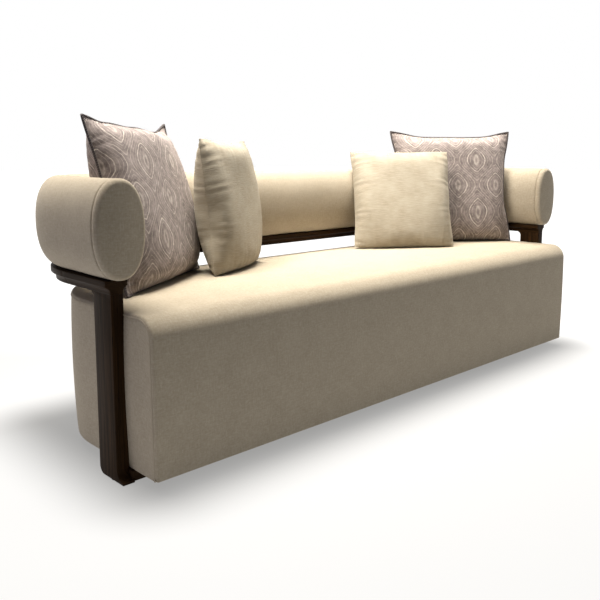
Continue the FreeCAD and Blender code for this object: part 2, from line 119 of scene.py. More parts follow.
def add_node(tree: bpy.types.NodeTree, kind: str, inputs: dict | None = None,
             **settings: object) -> bpy.types.Node:
    """Adds one shader node with its settings and links.

    Args:
        tree: the node tree that takes the node.
        kind: the node's type name in Blender, without the ShaderNode before it.
        inputs: socket names or numbers, each with a value, with the output socket that feeds it, or with the
            node whose first output in use feeds it.
        settings: the node's own properties.

    Returns:
        The new node.
    """
    node = tree.nodes.new("ShaderNode" + kind)
    for name, value in settings.items():
        setattr(node, name, value)
    for key, value in (inputs or {}).items():
        if isinstance(value, bpy.types.Node):
            value = next(socket for socket in value.outputs if socket.enabled)
        if isinstance(value, bpy.types.NodeSocket):
            tree.links.new(value, node.inputs[key])
        else:
            node.inputs[key].default_value = value
    return node


def new_material(name: str) -> tuple[bpy.types.Material, Callable]:
    """Makes an empty node material.

    Args:
        name: the material's name.

    Returns:
        The material, and add_node for its node tree.
    """
    material = bpy.data.materials.new(name)
    material.use_nodes = True
    material.node_tree.nodes.clear()
    return material, partial(add_node, material.node_tree)


def end_material(add: Callable, colour: bpy.types.Node, height: bpy.types.Node, lift: tuple[float, float],
                 sockets: dict[str, object], sunk: bool = False) -> None:
    """Ends a material with its bump, shader and output.

    Args:
        add: add_node for the material's tree.
        colour: what gives the base colour.
        height: what lifts the surface.
        lift: the bump's strength and its depth.
        sockets: the shader's other inputs.
        sunk: whether the height goes in and not out.
    """
    bump = add("Bump", {"Strength": lift[0], "Distance": lift[1], "Height": height}, invert=sunk)
    shader = add("BsdfPrincipled", {"Base Color": colour, "Normal": bump} | sockets)
    add("OutputMaterial", {"Surface": shader})


@dataclass(frozen=True)
class UpholsteryWool:
    """Woven wool upholstery, milled and brushed, so that a short nap hides most of the weave.

    The eye sees a matt greige with soft blotches, thick and thin yarns both ways and a pale bloom at grazing
    angles. The threads are about 1 mm apart on the real cloth and are drawn 2.4 mm apart, so that they show.
    """

    name: str = "milled_wool_upholstery"
    ground: str = "A89C89"
    shade: str = "9E927F"
    fleck: str = "B8AE9D"
    thin: str = "857A69"
    bloom: str = "E9DFCF"
    thread_mm: float = 2.4
    blotch_mm: float = 70.0
    nap_mm: float = 7.0
    yarn_mm: float = 3.2
    slub_mm: float = 26.0

    def make(self) -> bpy.types.Material:
        """Builds the material on the piece's own flat map.

        Returns:
            The material.
        """
        material, add = new_material(self.name)
        flat = add("UVMap", uv_map=FLAT_MAP)
        parts = add("SeparateXYZ", {0: flat})
        warp, weft = (
            add("Math", {0: add("Math", {0: parts.outputs[axis], 1: MM * FULL_TURN / self.thread_mm},
                                operation="MULTIPLY")}, operation="SINE")
            for axis in (0, 1))
        weave = add("Math", {0: warp, 1: weft}, operation="MULTIPLY")
        blotch = add("TexNoise", {"Vector": flat, "Scale": MM / self.blotch_mm, "Detail": 4.0,
                                  "Roughness": 0.6})
        nap = add("TexNoise", {"Vector": flat, "Scale": MM / self.nap_mm, "Detail": 3.0, "Roughness": 0.7})
        soft = add("MapRange", {0: blotch, 1: 0.3, 2: 0.7, 3: 0.0, 4: 1.0})
        grain = add("MapRange", {0: nap, 1: 0.35, 2: 0.7, 3: 0.0, 4: 0.6})
        base = add("Mix", {0: soft, 6: linear(self.shade), 7: linear(self.ground)}, data_type="RGBA")
        napped = add("Mix", {0: grain, 6: base, 7: linear(self.fleck)}, data_type="RGBA")
        fine, long = MM / self.yarn_mm, MM / self.slub_mm
        across, along = (
            add("TexNoise", {"Vector": add("Mapping", {"Vector": flat, "Scale": stretch}), "Scale": 1.0,
                             "Detail": 2.0, "Roughness": 0.6})
            for stretch in ((fine, long, 1.0), (long, fine, 1.0)))
        yarns = add("Math", {0: across, 1: along}, operation="ADD")
        slub = add("MapRange", {0: yarns, 1: 0.82, 2: 1.18, 3: 0.3, 4: 0.0})
        colour = add("Mix", {0: slub, 6: napped, 7: linear(self.thin)}, data_type="RGBA")
        threads = add("Math", {0: weave, 1: 0.35}, operation="MULTIPLY")
        height = add("Math", {0: threads, 1: nap}, operation="ADD")
        end_material(add, colour, height, (0.25, 0.0012), {
            "Roughness": 0.92, "IOR": 1.45, "Specular IOR Level": 0.25, "Sheen Weight": 0.22,
            "Sheen Roughness": 0.55, "Sheen Tint": linear(self.bloom)})
        return material


@dataclass(frozen=True)
class SlubLinen:
    """Cream linen blend with thick and thin weft yarns: short raised slubs across, a fine warp between them.

    The weft is about 1.5 mm apart on the real cloth and is drawn 3 mm apart, so that it shows.
    """

    name: str = "slub_linen"
    ground: str = "9C9382"
    shade: str = "8B806E"
    # Paler colour of the raised slubs: partly the thick yarn's own tone, partly painted highlight
    pale: str = "A8A193"
    bloom: str = "F2EADA"
    weft_mm: float = 3.0
    slub_mm: float = 34.0
    blotch_mm: float = 62.5

    def make(self) -> bpy.types.Material:
        """Builds the material on the cushion's own flat map.

        Returns:
            The material.
        """
        material, add = new_material(self.name)
        flat = add("UVMap", uv_map=FLAT_MAP)
        laid = add("Mapping", {"Vector": flat, "Scale": (MM / self.slub_mm, MM / self.weft_mm, 1.0)})
        slub = add("TexNoise", {"Vector": laid, "Scale": 1.0, "Detail": 3.0, "Roughness": 0.62})
        blotch = add("TexNoise", {"Vector": flat, "Scale": MM / self.blotch_mm, "Detail": 3.0})
        raised = add("MapRange", {0: slub, 1: 0.36, 2: 0.66, 3: 0.0, 4: 1.0})
        soft = add("MapRange", {0: blotch, 1: 0.3, 2: 0.7, 3: 0.0, 4: 1.0})
        base = add("Mix", {0: soft, 6: linear(self.shade), 7: linear(self.ground)}, data_type="RGBA")
        # Partly the slub yarn's own paler tone and partly painted highlight: the higher a slub stands, the
        # paler it is painted
        lit = add("Math", {0: raised, 1: 0.55}, operation="MULTIPLY")
        colour = add("Mix", {0: lit, 6: base, 7: linear(self.pale)}, data_type="RGBA")
        end_material(add, colour, slub, (0.5, 0.0014), {
            "Roughness": 0.88, "IOR": 1.45, "Specular IOR Level": 0.25, "Sheen Weight": 0.15,
            "Sheen Roughness": 0.5, "Sheen Tint": linear(self.bloom)})
        return material


@dataclass(frozen=True)
class OgeeJacquard:
    """Jacquard with a traditional trellis of ogees: pale outlines, one inside the other, on a mottled ground.

    The outlines are level lines of |triangle(u) + cos(v)|, where triangle(u) = asin(p cos u) / asin p. At
    zero they are S-shaped lines that part and meet again, and further in they are ogees round every lattice
    point. Each has a place, a width and a strength. The raised yarns of the outlines catch the light, and
    the ground is rubbed and cloudy, with clouds of about 25 mm. The lines waver by a few millimetres every
    17 mm or so.
    """

    name: str = "ogee_jacquard"
    ground: str = "9A8E8A"
    shade: str = "6E6462"
    line: str = "DAD0C4"
    bloom: str = "D8CFC9"
    pitch_mm: float = 178.0
    drop_mm: float = 222.0
    thread_mm: float = 2.6
    waver_mm: float = 7.0
    wavers_per_m: float = 60.0
    rubs_per_m: float = 42.0
    clouds_per_m: float = 38.0
    sharp: float = 0.985
    outlines: tuple[Triple, ...] = (
        (0.17, 0.06, 0.5), (0.5, 0.045, 0.28), (0.78, 0.045, 0.34), (1.08, 0.065, 1.0), (1.4, 0.05, 0.4),
        (1.85, 0.13, 0.5))

    def make(self) -> bpy.types.Material:
        """Builds the material on the cushion's own flat map.

        Returns:
            The material.
        """
        material, add = new_material(self.name)
        flat = add("UVMap", uv_map=FLAT_MAP)
        waver = add("TexNoise", {"Vector": flat, "Scale": self.wavers_per_m, "Detail": 2.0})
        centred = add("VectorMath", {0: waver.outputs["Color"], 1: (0.5, 0.5, 0.5)}, operation="SUBTRACT")
        small = add("VectorMath", {0: centred, "Scale": self.waver_mm / MM}, operation="SCALE")
        parts = add("SeparateXYZ", {0: add("VectorMath", {0: flat, 1: small}, operation="ADD")})
        cos_u, cos_v = (
            add("Math", {0: add("Math", {0: parts.outputs[axis], 1: MM * FULL_TURN / repeat},
                                operation="MULTIPLY")}, operation="COSINE")
            for axis, repeat in ((0, self.pitch_mm), (1, self.drop_mm)))
        held = add("Math", {0: cos_u, 1: self.sharp}, operation="MULTIPLY")
        turned = add("Math", {0: held}, operation="ARCSINE")
        triangle = add("Math", {0: turned, 1: math.asin(self.sharp)}, operation="DIVIDE")
        level = add("Math", {0: triangle, 1: cos_v}, operation="ADD")
        ogee = add("Math", {0: level}, operation="ABSOLUTE")
        outline: bpy.types.Node | float = 0.0
        for place, width, strength in self.outlines:
            off = add("Math", {0: ogee, 1: place}, operation="SUBTRACT")
            away = add("Math", {0: off}, operation="ABSOLUTE")
            ring = add("MapRange", {0: away, 1: 0.3 * width, 2: width, 3: strength, 4: 0.0})
            outline = add("Math", {0: ring, 1: outline}, operation="MAXIMUM")
        rubbed = add("TexNoise", {"Vector": flat, "Scale": self.rubs_per_m, "Detail": 4.0, "Roughness": 0.7})
        worn = add("MapRange", {0: rubbed, 1: 0.36, 2: 0.6, 3: 0.2, 4: 1.0})
        yarn = add("Math", {0: outline, 1: worn}, operation="MULTIPLY")
        cloud = add("TexNoise", {"Vector": flat, "Scale": self.clouds_per_m, "Detail": 5.0, "Roughness": 0.7})
        soft = add("MapRange", {0: cloud, 1: 0.35, 2: 0.65, 3: 0.0, 4: 1.0})
        base = add("Mix", {0: soft, 6: linear(self.shade), 7: linear(self.ground)}, data_type="RGBA")
        colour = add("Mix", {0: yarn, 6: base, 7: linear(self.line)}, data_type="RGBA")
        fine = add("TexNoise", {"Vector": flat, "Scale": MM / self.thread_mm, "Detail": 1.0})
        thread = add("Math", {0: fine, 1: 0.6}, operation="MULTIPLY")
        height = add("Math", {0: thread, 1: yarn}, operation="ADD")
        end_material(add, colour, height, (0.4, 0.0012), {
            "Roughness": 0.78, "IOR": 1.45, "Specular IOR Level": 0.3, "Sheen Weight": 0.2,
            "Sheen Roughness": 0.45, "Sheen Tint": linear(self.bloom)})
        return material


@dataclass(frozen=True)
class TwistedCord:
    """Dark cotton piping cord: two plies twisted, so that slanted ridges run round it every 6 mm, with
    painted shade in the grooves between them.
    """

    name: str = "twisted_cotton_cord"
    ridge: str = "5A5252"
    # Painted shade: the colour of the hollows between the plies
    groove: str = "3A3535"
    ply_mm: float = 6.0

    def make(self) -> bpy.types.Material:
        """Builds the material on the cord's own flat map, whose V runs round the cord.

        Returns:
            The material.
        """
        material, add = new_material(self.name)
        parts = add("SeparateXYZ", {0: add("UVMap", uv_map=FLAT_MAP)})
        along = add("Math", {0: parts, 1: MM * FULL_TURN / self.ply_mm}, operation="MULTIPLY")
        slant = add("Math", {0: parts.outputs[1], 1: FULL_TURN, 2: along}, operation="MULTIPLY_ADD")
        wave = add("Math", {0: slant}, operation="SINE")
        ply = add("MapRange", {0: wave, 1: -1.0, 2: 1.0, 3: 0.0, 4: 1.0})
        # Painted shade: the hollows between the plies take the darker groove colour, the ridges the cord's
        # own colour
        colour = add("Mix", {0: ply, 6: linear(self.groove), 7: linear(self.ridge)}, data_type="RGBA")
        end_material(add, colour, ply, (0.6, 0.001), {
            "Roughness": 0.8, "IOR": 1.45, "Specular IOR Level": 0.3, "Sheen Weight": 0.15})
        return material


@dataclass(frozen=True)
class StainedWenge:
    """Solid timber stained to a wenge brown-black under satin lacquer.

    Long dark pores and slightly paler bands run along each piece, and the lacquer gives a soft, broad gloss.
    """

    name: str = "wenge_stained_timber"
    dark: str = "1D1309"
    brown: str = "392716"
    pore: str = "0C0907"
    band_mm: float = 9.0
    pore_mm: float = 1.6
    bands_per_m: float = 3.0
    pores_per_m: float = 28.0

    def make(self) -> bpy.types.Material:
        """Builds the material on the piece's own flat map, whose U runs along the grain.

        Returns:
            The material.
        """
        material, add = new_material(self.name)
        flat = add("UVMap", uv_map=FLAT_MAP)
        bands = add("Mapping", {"Vector": flat, "Scale": (self.bands_per_m, MM / self.band_mm, 1.0)})
        band = add("TexNoise", {"Vector": bands, "Scale": 1.0, "Detail": 4.0, "Roughness": 0.6,
                                "Distortion": 0.4})
        pores = add("Mapping", {"Vector": flat, "Scale": (self.pores_per_m, MM / self.pore_mm, 1.0)})
        pore = add("TexNoise", {"Vector": pores, "Scale": 1.0, "Detail": 2.0})
        tone = add("MapRange", {0: band, 1: 0.32, 2: 0.7, 3: 0.0, 4: 1.0})
        slit = add("MapRange", {0: pore, 1: 0.6, 2: 0.7, 3: 0.0, 4: 0.8})
        base = add("Mix", {0: tone, 6: linear(self.dark), 7: linear(self.brown)}, data_type="RGBA")
        colour = add("Mix", {0: slit, 6: base, 7: linear(self.pore)}, data_type="RGBA")
        rough = add("MapRange", {0: band, 1: 0.3, 2: 0.7, 3: 0.52, 4: 0.42})
        end_material(add, colour, slit, (0.25, 0.0004), {
            "Roughness": rough, "IOR": 1.5, "Specular IOR Level": 0.04}, sunk=True)
        return material


@dataclass(frozen=True)
class GrainyFinish:
    """A finish with one grain, on object coordinates: sawn timber, moulded plastic, plated steel or lining.

    A noise with three scales per metre blends two tones and lifts the surface by a small depth.
    """

    name: str
    tone: str
    other: str
    scale: Triple
    roughness: float
    metallic: float = 0.0
    depth: float = 0.0003

    def make(self) -> bpy.types.Material:
        """Builds the material on object coordinates.

        Returns:
            The material.
        """
        material, add = new_material(self.name)
        laid = add("Mapping", {"Vector": add("TexCoord").outputs["Object"], "Scale": self.scale})
        grain = add("TexNoise", {"Vector": laid, "Scale": 1.0, "Detail": 4.0, "Roughness": 0.6})
        blend = add("MapRange", {0: grain, 1: 0.3, 2: 0.7, 3: 0.0, 4: 1.0})
        colour = add("Mix", {0: blend, 6: linear(self.tone), 7: linear(self.other)}, data_type="RGBA")
        end_material(add, colour, grain, (0.3, self.depth), {
            "Roughness": self.roughness, "Metallic": self.metallic})
        return material


# What each record slot is made of
FINISHES = {
    "sofa_fabric": UpholsteryWool(),
    "cream_fabric": SlubLinen(),
    "patterned_fabric": OgeeJacquard(),
    "dark_piping": TwistedCord(),
    "dark_wood": StainedWenge(),
    # Sawn and planed softwood and plywood: pale, dry, with long grain
    "inner_wood": GrainyFinish("planed_pine", "B9976B", "D2B58A", (5.0, 130.0, 130.0), 0.7),
    # Zinc plated steel: bluish grey, softly mottled crystals
    "zinc_steel": GrainyFinish("zinc_plated_steel", "A8ACB1", "C3C6C8", (400.0, 400.0, 400.0), 0.32,
                               metallic=1.0, depth=0.0001),
    # Moulded polypropylene: near black with a fine spark-eroded grain
    "glide_plastic": GrainyFinish("moulded_polypropylene", "211F1C", "2B2925", (900.0, 900.0, 900.0), 0.5),
    # Spun-bonded lining under the seat: black felted fibres
    "black_lining": GrainyFinish("spunbonded_lining", "151414", "232221", (600.0, 600.0, 600.0), 0.9),
    # Elastic webbing: brown jute-coloured bands with lengthwise ribs
    "webbing": GrainyFinish("elastic_webbing", "5E4E3D", "77654F", (500.0, 500.0, 60.0), 0.85),
    # Open-celled polyurethane foam: pale yellow pores
    "foam": GrainyFinish("polyurethane_foam", "DDD2AE", "ECE4C8", (700.0, 700.0, 700.0), 0.95),
    # Polyester fibre: white, tangled
    "fibre_filling": GrainyFinish("polyester_fibre", "E4E1DA", "F4F2EE", (300.0, 300.0, 300.0), 0.95),
}


def quarter(count: int) -> np.ndarray:
    """Angles over a quarter turn, from zero."""
    return np.linspace(0.0, np.pi / 2, count)


def lengths(points: np.ndarray) -> np.ndarray:
    """Running length along a line of points, from zero."""
    steps = np.linalg.norm(np.diff(points, axis=0), axis=1)
    return np.concatenate([[0.0], np.cumsum(steps)])


def girth(loop: np.ndarray) -> np.ndarray:
    """Running length round a closed loop of points, back to its start."""
    return lengths(np.concatenate([loop, loop[:1]]))


def smooth(value: np.ndarray, low: float, high: float) -> np.ndarray:
    """Rises from 0 at low to 1 at high along 3t^2 - 2t^3."""
    t = np.clip((value - low) / (high - low), 0.0, 1.0)
    return t * t * (3.0 - 2.0 * t)


def flat_grid(rows: np.ndarray, columns: np.ndarray) -> np.ndarray:
    """Flat places of a grid from the places of its rows and of its columns."""
    return np.stack(np.meshgrid(rows, columns, indexing="ij"), -1)


def come_round(flat: np.ndarray) -> np.ndarray:
    """Flat places of a closed grid, with the first column once more at the end."""
    return np.concatenate([flat, flat[:, :1]], axis=1)


class Shell:
    """Gathers grids of points into one welded mesh that carries a flat map in metres."""

    def __init__(self) -> None:
        """Starts with no grids."""
        self.points: list[np.ndarray] = []
        self.corners: list[np.ndarray] = []
        self.maps: list[np.ndarray] = []
        self.count = 0

    def add(self, points: np.ndarray, flat: np.ndarray, closed: bool = False) -> None:
        """Adds a grid of quads.

        Args:
            points: rows x columns x 3 places.
            flat: rows x columns x 2 flat places, with one more column where the grid closes on itself.
            closed: whether the last column joins the first.
        """
        rows, columns = points.shape[:2]
        wide = flat.shape[1]
        i, j = np.meshgrid(np.arange(rows - 1), np.arange(columns if closed else columns - 1), indexing="ij")
        down = np.stack([i, i, i + 1, i + 1], -1).reshape(-1, 4)
        over = np.stack([j, j + 1, j + 1, j], -1).reshape(-1, 4)
        self.corners.append(self.count + down * columns + over % columns)
        self.maps.append(flat.reshape(-1, 2)[down * wide + over])
        self.points.append(points.reshape(-1, 3))
        self.count += rows * columns

    def cap(self, loop: np.ndarray) -> None:
        """Closes a loop of points with a fan to its middle, mapped by its own first two long directions.

        Args:
            loop: points x 3.
        """
        rows = np.stack([loop, np.broadcast_to(loop.mean(axis=0), loop.shape)])
        spread = np.argsort(-np.ptp(loop, axis=0))[:2]
        self.add(rows, come_round(rows[:, :, np.sort(spread)]), closed=True)

    def build(self, name: str) -> bpy.types.Object:
        """Welds the grids, drops collapsed corners, turns the faces outwards and makes the object.

        Args:
            name: the object's name.

        Returns:
            A smooth-shaded object at the origin.
        """
        points = np.concatenate(self.points)
        corners = np.concatenate(self.corners)
        maps = np.concatenate(self.maps)
        _, first, inverse = np.unique(np.round(points / WELD).astype(np.int64), axis=0, return_index=True,
                                      return_inverse=True)
        points = points[first]
        corners = inverse.reshape(-1)[corners]
        keep = corners != np.roll(corners, 1, axis=1)
        whole = keep.sum(axis=1) > 2
        corners, maps, keep = corners[whole], maps[whole], keep[whole]
        totals = keep.sum(axis=1)
        mesh = bpy.data.meshes.new(name)
        mesh.vertices.add(len(points))
        mesh.vertices.foreach_set("co", points.astype(np.float32).ravel())
        mesh.loops.add(int(totals.sum()))
        mesh.loops.foreach_set("vertex_index", corners[keep].astype(np.int32))
        mesh.polygons.add(len(totals))
        starts = np.concatenate([[0], np.cumsum(totals)[:-1]])
        mesh.polygons.foreach_set("loop_start", starts.astype(np.int32))
        layer = mesh.uv_layers.new(name=FLAT_MAP)
        layer.uv.foreach_set("vector", maps[keep].astype(np.float32).ravel())
        mesh.validate()
        mesh.update(calc_edges=True)
        obj = bpy.data.objects.new(name, mesh)
        bpy.context.scene.collection.objects.link(obj)
        face_outwards(obj)
        mesh.shade_smooth()
        return obj


def face_outwards(obj: bpy.types.Object, fill: bool = False) -> None:
    """Makes the faces of a mesh agree and point away from its inside.

    Args:
        obj: the object whose mesh is turned.
        fill: whether its holes are filled first.
    """
    bpy.context.view_layer.objects.active = obj
    obj.select_set(True)
    bpy.ops.object.mode_set(mode="EDIT")
    bpy.ops.mesh.select_all(action="SELECT")
    if fill:
        bpy.ops.mesh.fill_holes(sides=0)
    bpy.ops.mesh.normals_make_consistent(inside=False)
    bpy.ops.object.mode_set(mode="OBJECT")
    obj.select_set(False)


def give(obj: bpy.types.Object, slot: str, body: str, nodes: list[str], materials: Materials) -> None:
    """Dresses a piece, sets it on its body and says which nodes it stands for.

    Args:
        obj: the piece.
        slot: the record's material slot.
        body: the body it moves with.
        nodes: the CAD nodes it replaces.
        materials: the materials by slot.
    """
    obj.data.materials.clear()
    obj.data.materials.append(materials[slot])
    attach(obj, body)
    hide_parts(*nodes)
    log.info("%s: %d faces, stands for %s", obj.name, len(obj.data.polygons), ", ".join(nodes))


def thicken(obj: bpy.types.Object, cloth: float) -> None:
    """Gives an open sheet its thickness on the inside.

    Args:
        obj: the sheet.
        cloth: the thickness.
    """
    wall = obj.modifiers.new("cloth_thickness", "SOLIDIFY")
    wall.thickness = cloth
    wall.offset = -1.0
    wall.use_even_offset = False


def tube(path: np.ndarray, radius: float, sides: int, up: np.ndarray, closed: bool) -> Shell:
    """A round section carried along a path.

    At each point the section turns about the path's tangent: across = tangent x up.

    Args:
        path: points x 3.
        radius: the section's radius.
        sides: corners of the section.
        up: a direction that is never along the path, or one for each point.
        closed: whether the path returns to its start.

    Returns:
        The shell, with closed ends unless the path is closed.
    """
    if closed:
        ahead = np.roll(path, -1, axis=0) - np.roll(path, 1, axis=0)
    else:
        ahead = np.gradient(path, axis=0)
    tangent = ahead / np.linalg.norm(ahead, axis=1, keepdims=True)
    across = np.cross(tangent, np.broadcast_to(up, tangent.shape))
    across /= np.linalg.norm(across, axis=1, keepdims=True)
    normal = np.cross(across, tangent)
    angle = np.linspace(0.0, FULL_TURN, sides, endpoint=False)
    ring = np.cos(angle)[None, :, None] * across[:, None] + np.sin(angle)[None, :, None] * normal[:, None]
    points = path[:, None] + radius * ring
    if closed:
        points = np.concatenate([points, points[:1]])
    run = girth(path) if closed else lengths(path)
    shell = Shell()
    shell.add(points, flat_grid(run, np.linspace(0.0, 1.0, sides + 1)), closed=True)
    if not closed:
        shell.cap(points[0])
        shell.cap(points[-1])
    return shell


@dataclass
class Seat:
    """The seat block: a cover that falls over the front, end panels, a rear panel and sewn welts.

    The plan has straight front and ends and round rear corners. The hem is how far the cloth runs in under
    the seat, round an edge of the hem's radius. The columns are those of the cover's grid.
    """

    half_length: float = 1.045
    depth: float = 0.630
    bottom: float = 0.0305
    top: float = 0.446
    corner: float = 0.285
    front_round: float = 0.055
    edge: float = 0.008
    seam: float = 0.0085
    crown: float = 0.013
    flare: float = 0.004
    front_swell: float = 0.002
    end_swell: float = 0.006
    tuck: float = 0.003
    cloth: float = 0.002
    welt: float = 0.0021
    hem: float = 0.024
    cover_hem_round: float = 0.004
    panel_hem_round: float = 0.0045
    columns: int = 121

    @property
    def rear(self) -> float:
        """Y of the back of the seat."""
        return SEAT_FRONT + self.depth

    @property
    def turn(self) -> float:
        """Y where the rear corners begin."""
        return self.rear - self.corner

    @property
    def inner(self) -> float:
        """X where the rear corners end."""
        return self.half_length - self.corner

    @property
    def bend(self) -> float:
        """Radius of the end seam over the front edge."""
        return self.front_round - self.seam

    def rise(self, x: np.ndarray, y: np.ndarray) -> np.ndarray:
        """Height of the soft top above its rim.

        It is a low crown with slight lumps: (1 - u^8) across, and a sine from front to back.

        Args:
            x, y: plan places.

        Returns:
            The height at each place.
        """
        u = np.clip(np.abs(x) / self.half_length, 0.0, 1.0)
        v = np.clip((y - SEAT_FRONT - 0.02) / (self.depth - 0.03), 0.0, 1.0)
        lumps = 0.12 * np.sin(9.0 * x + 1.3) * np.sin(14.0 * y + 0.4)
        return self.crown * (1.0 - u ** 8) * np.sin(np.pi * v) ** 0.7 * (1.0 + lumps)

    def height(self, x: np.ndarray, y: np.ndarray) -> np.ndarray:
        """Z of the top of the seat."""
        return self.top + self.rise(x, y)

    def lean(self, z: np.ndarray) -> np.ndarray:
        """How far the upright cloth stands out: nothing at the hem, the whole flare at the top."""
        return self.flare * np.clip((z - self.bottom) / (self.top - self.bottom), 0.0, 1.0)

    def cover(self) -> bpy.types.Object:
        """The cover: a grid over front and top, and a rolled border that ends in the seam.

        Down the front and over the top, a profile in Y and Z is carried along X. Behind the corner start the
        half width shrinks as inner + r cos(phi) while y = turn + r sin(phi), which follows the round corners.
        Round the rim a quarter circle leads down to the seam. The crown begins half-way round the front edge.

        Returns:
            The cover as an open sheet with a thickness.
        """
        r = self.corner - self.edge + self.flare
        side = self.half_length - self.edge
        fold = self.cover_hem_round
        small = quarter(5)
        hem_y = np.linspace(SEAT_FRONT + self.hem, SEAT_FRONT + fold, 4)[:-1]
        low_y = SEAT_FRONT + fold - fold * np.sin(small)
        low_z = self.bottom + 0.0005 + fold - fold * np.cos(small)
        face_z = np.linspace(low_z[-1], self.top - self.front_round, 40)[1:]
        tall = self.top - self.front_round - self.bottom
        swell = self.front_swell * np.sin(np.pi * (face_z - self.bottom) / tall)
        bend = quarter(16)[1:]
        bend_y = SEAT_FRONT + self.front_round * (1.0 - np.cos(bend))
        bend_z = self.top - self.front_round * (1.0 - np.sin(bend))
        flat_y = np.linspace(SEAT_FRONT + self.front_round, self.turn, 30)[1:]
        phi = quarter(31)[1:]
        level = len(flat_y) + len(phi)
        y = np.concatenate([hem_y, low_y, SEAT_FRONT - swell, bend_y, flat_y, self.turn + r * np.sin(phi)])
        z = np.concatenate([np.full(len(hem_y), low_z[0]), low_z, face_z, bend_z, np.full(level, self.top)])
        half = np.concatenate([side + self.lean(z[:-len(phi)]), self.inner + r * np.cos(phi)])
        normal = np.concatenate([
            np.tile((0.0, -1.0), (len(hem_y), 1)), np.stack([-np.sin(small), -np.cos(small)], -1),
            np.tile((-1.0, 0.0), (len(face_z), 1)), np.stack([-np.cos(bend), np.sin(bend)], -1),
            np.tile((0.0, 1.0), (level, 1))])
        even = np.linspace(-1.0, 1.0, self.columns)
        u = 0.65 * np.sin(even * np.pi / 2) + 0.35 * even
        x = half[:, None] * u[None, :]
        yy = np.broadcast_to(y[:, None], x.shape)
        crowned = np.arange(len(y)) >= len(y) - level - len(bend) + len(bend) // 2
        zz = z[:, None] + np.where(crowned[:, None], self.rise(x, yy), 0.0)
        run = lengths(np.stack([y, z], -1))
        sheet = np.stack([x, yy, zz], -1)
        shell = Shell()
        shell.add(sheet, np.stack([x, np.broadcast_to(run[:, None], x.shape)], -1))
        rim = np.concatenate([sheet[:, 0], sheet[-1, 1:-1], sheet[::-1, -1]])
        back = (self.columns - 2, 1)
        arc = np.tile((1.0, 0.0, 0.0), (len(y), 1))
        arc[-len(phi):, 0] = np.cos(phi)
        arc[-len(phi):, 1] = -np.sin(phi)
        inward = np.concatenate([arc, np.tile((0.0, -1.0, 0.0), back), arc[::-1] * (-1.0, 1.0, 1.0)])
        out = np.concatenate([np.zeros((len(y), 1)), normal], axis=1)
        outward = np.concatenate([out, np.tile((0.0, 0.0, 1.0), back), out[::-1]])
        theta = quarter(7)
        rolled = (rim[:, None] - self.edge * outward[:, None]
                  + self.edge * (np.cos(theta)[None, :, None] * outward[:, None]
                                 - np.sin(theta)[None, :, None] * inward[:, None]))
        dips = np.array([[0.0003, 0.0004], [0.0006, 0.0016], [0.0008, self.tuck]])
        seam = rolled[:, -1:] - dips[None, :, :1] * outward[:, None] + dips[None, :, 1:] * inward[:, None]
        width = np.concatenate([self.edge * theta, self.edge * np.pi / 2 + dips[:, 1]])
        shell.add(np.concatenate([rolled, seam], axis=1), flat_grid(lengths(rim), width))
        obj = shell.build("seat_cover")
        thicken(obj, self.cloth)
        return obj

    def outline(self, start: float, side: Side) -> tuple[np.ndarray, np.ndarray, np.ndarray]:
        """One end's plan line from the front seam to the end of its round corner.

        Args:
            start: Y where the line begins.
            side: which end.

        Returns:
            Places (x, y), outward directions, and the running length.
        """
        near = start + self.bend * (1.0 - np.cos(quarter(14)))
        straight = np.concatenate([near, np.linspace(near[-1], self.turn, 26)[1:]])
        phi = quarter(37)[1:]
        x = np.concatenate([np.full(len(straight), self.half_length), self.inner + self.corner * np.cos(phi)])
        y = np.concatenate([straight, self.turn + self.corner * np.sin(phi)])
        out_x = np.concatenate([np.ones(len(straight)), np.cos(phi)])
        out_y = np.concatenate([np.zeros(len(straight)), np.sin(phi)])
        places = np.stack([side.value * x, y], -1)
        return places, np.stack([side.value * out_x, out_y], -1), lengths(places)

    def band(self, places: np.ndarray, outward: np.ndarray, run: np.ndarray, roof: np.ndarray,
             ends: np.ndarray) -> Shell:
        """A stretch of the upright cloth, from its hem under the seat to the seam below the top.

        Its belly stands out by swell x (4 t (1 - t))^0.8, and it turns in at every seam.

        Args:
            places: plan points (x, y).
            outward: plan directions.
            run: running length along the plan line.
            roof: height of the seam above each plan point.
            ends: how far each plan point is from the seams at the two ends of the stretch.

        Returns:
            The shell.
        """
        fold = self.panel_hem_round
        t = np.concatenate([np.linspace(0.0, 0.05, 5)[:-1], np.linspace(0.05, 0.93, 26)[:-1],
                            np.linspace(0.93, 0.985, 6)[:-1], np.linspace(0.985, 1.0, 5)])
        z = self.bottom + fold + t[None, :] * (roof[:, None] - self.bottom - fold)
        belly = self.end_swell * (4.0 * t * (1.0 - t)) ** 0.8
        near = np.minimum(roof[:, None] - z, ends[:, None])
        push = belly[None, :] * smooth(ends, 0.0, 0.09)[:, None] + self.lean(z)
        push = push - self.tuck * (1.0 - smooth(near, -0.001, 0.005)) - 0.0005
        points = np.empty(z.shape + (3,))
        points[..., :2] = places[:, None] + outward[:, None] * push[..., None]
        points[..., 2] = z
        curl = quarter(5)[:-1]
        hem_in = np.concatenate([[self.hem, self.hem / 2], fold * (1.0 - np.sin(curl))])
        hem_z = np.concatenate([[0.0006, 0.0005], fold * (1.0 - np.cos(curl))])
        hem = np.empty((len(places), len(hem_in), 3))
        base = push[:, :1, None] * outward[:, None]
        hem[..., :2] = places[:, None] + base - outward[:, None] * hem_in[None, :, None]
        hem[..., 2] = self.bottom + np.maximum(hem_z, 0.0004)[None, :]
        rise = np.concatenate([hem_z - hem_in, self.bottom + t * (roof.max() - self.bottom)])
        shell = Shell()
        shell.add(np.concatenate([hem, points], axis=1), flat_grid(run, rise))
        return shell

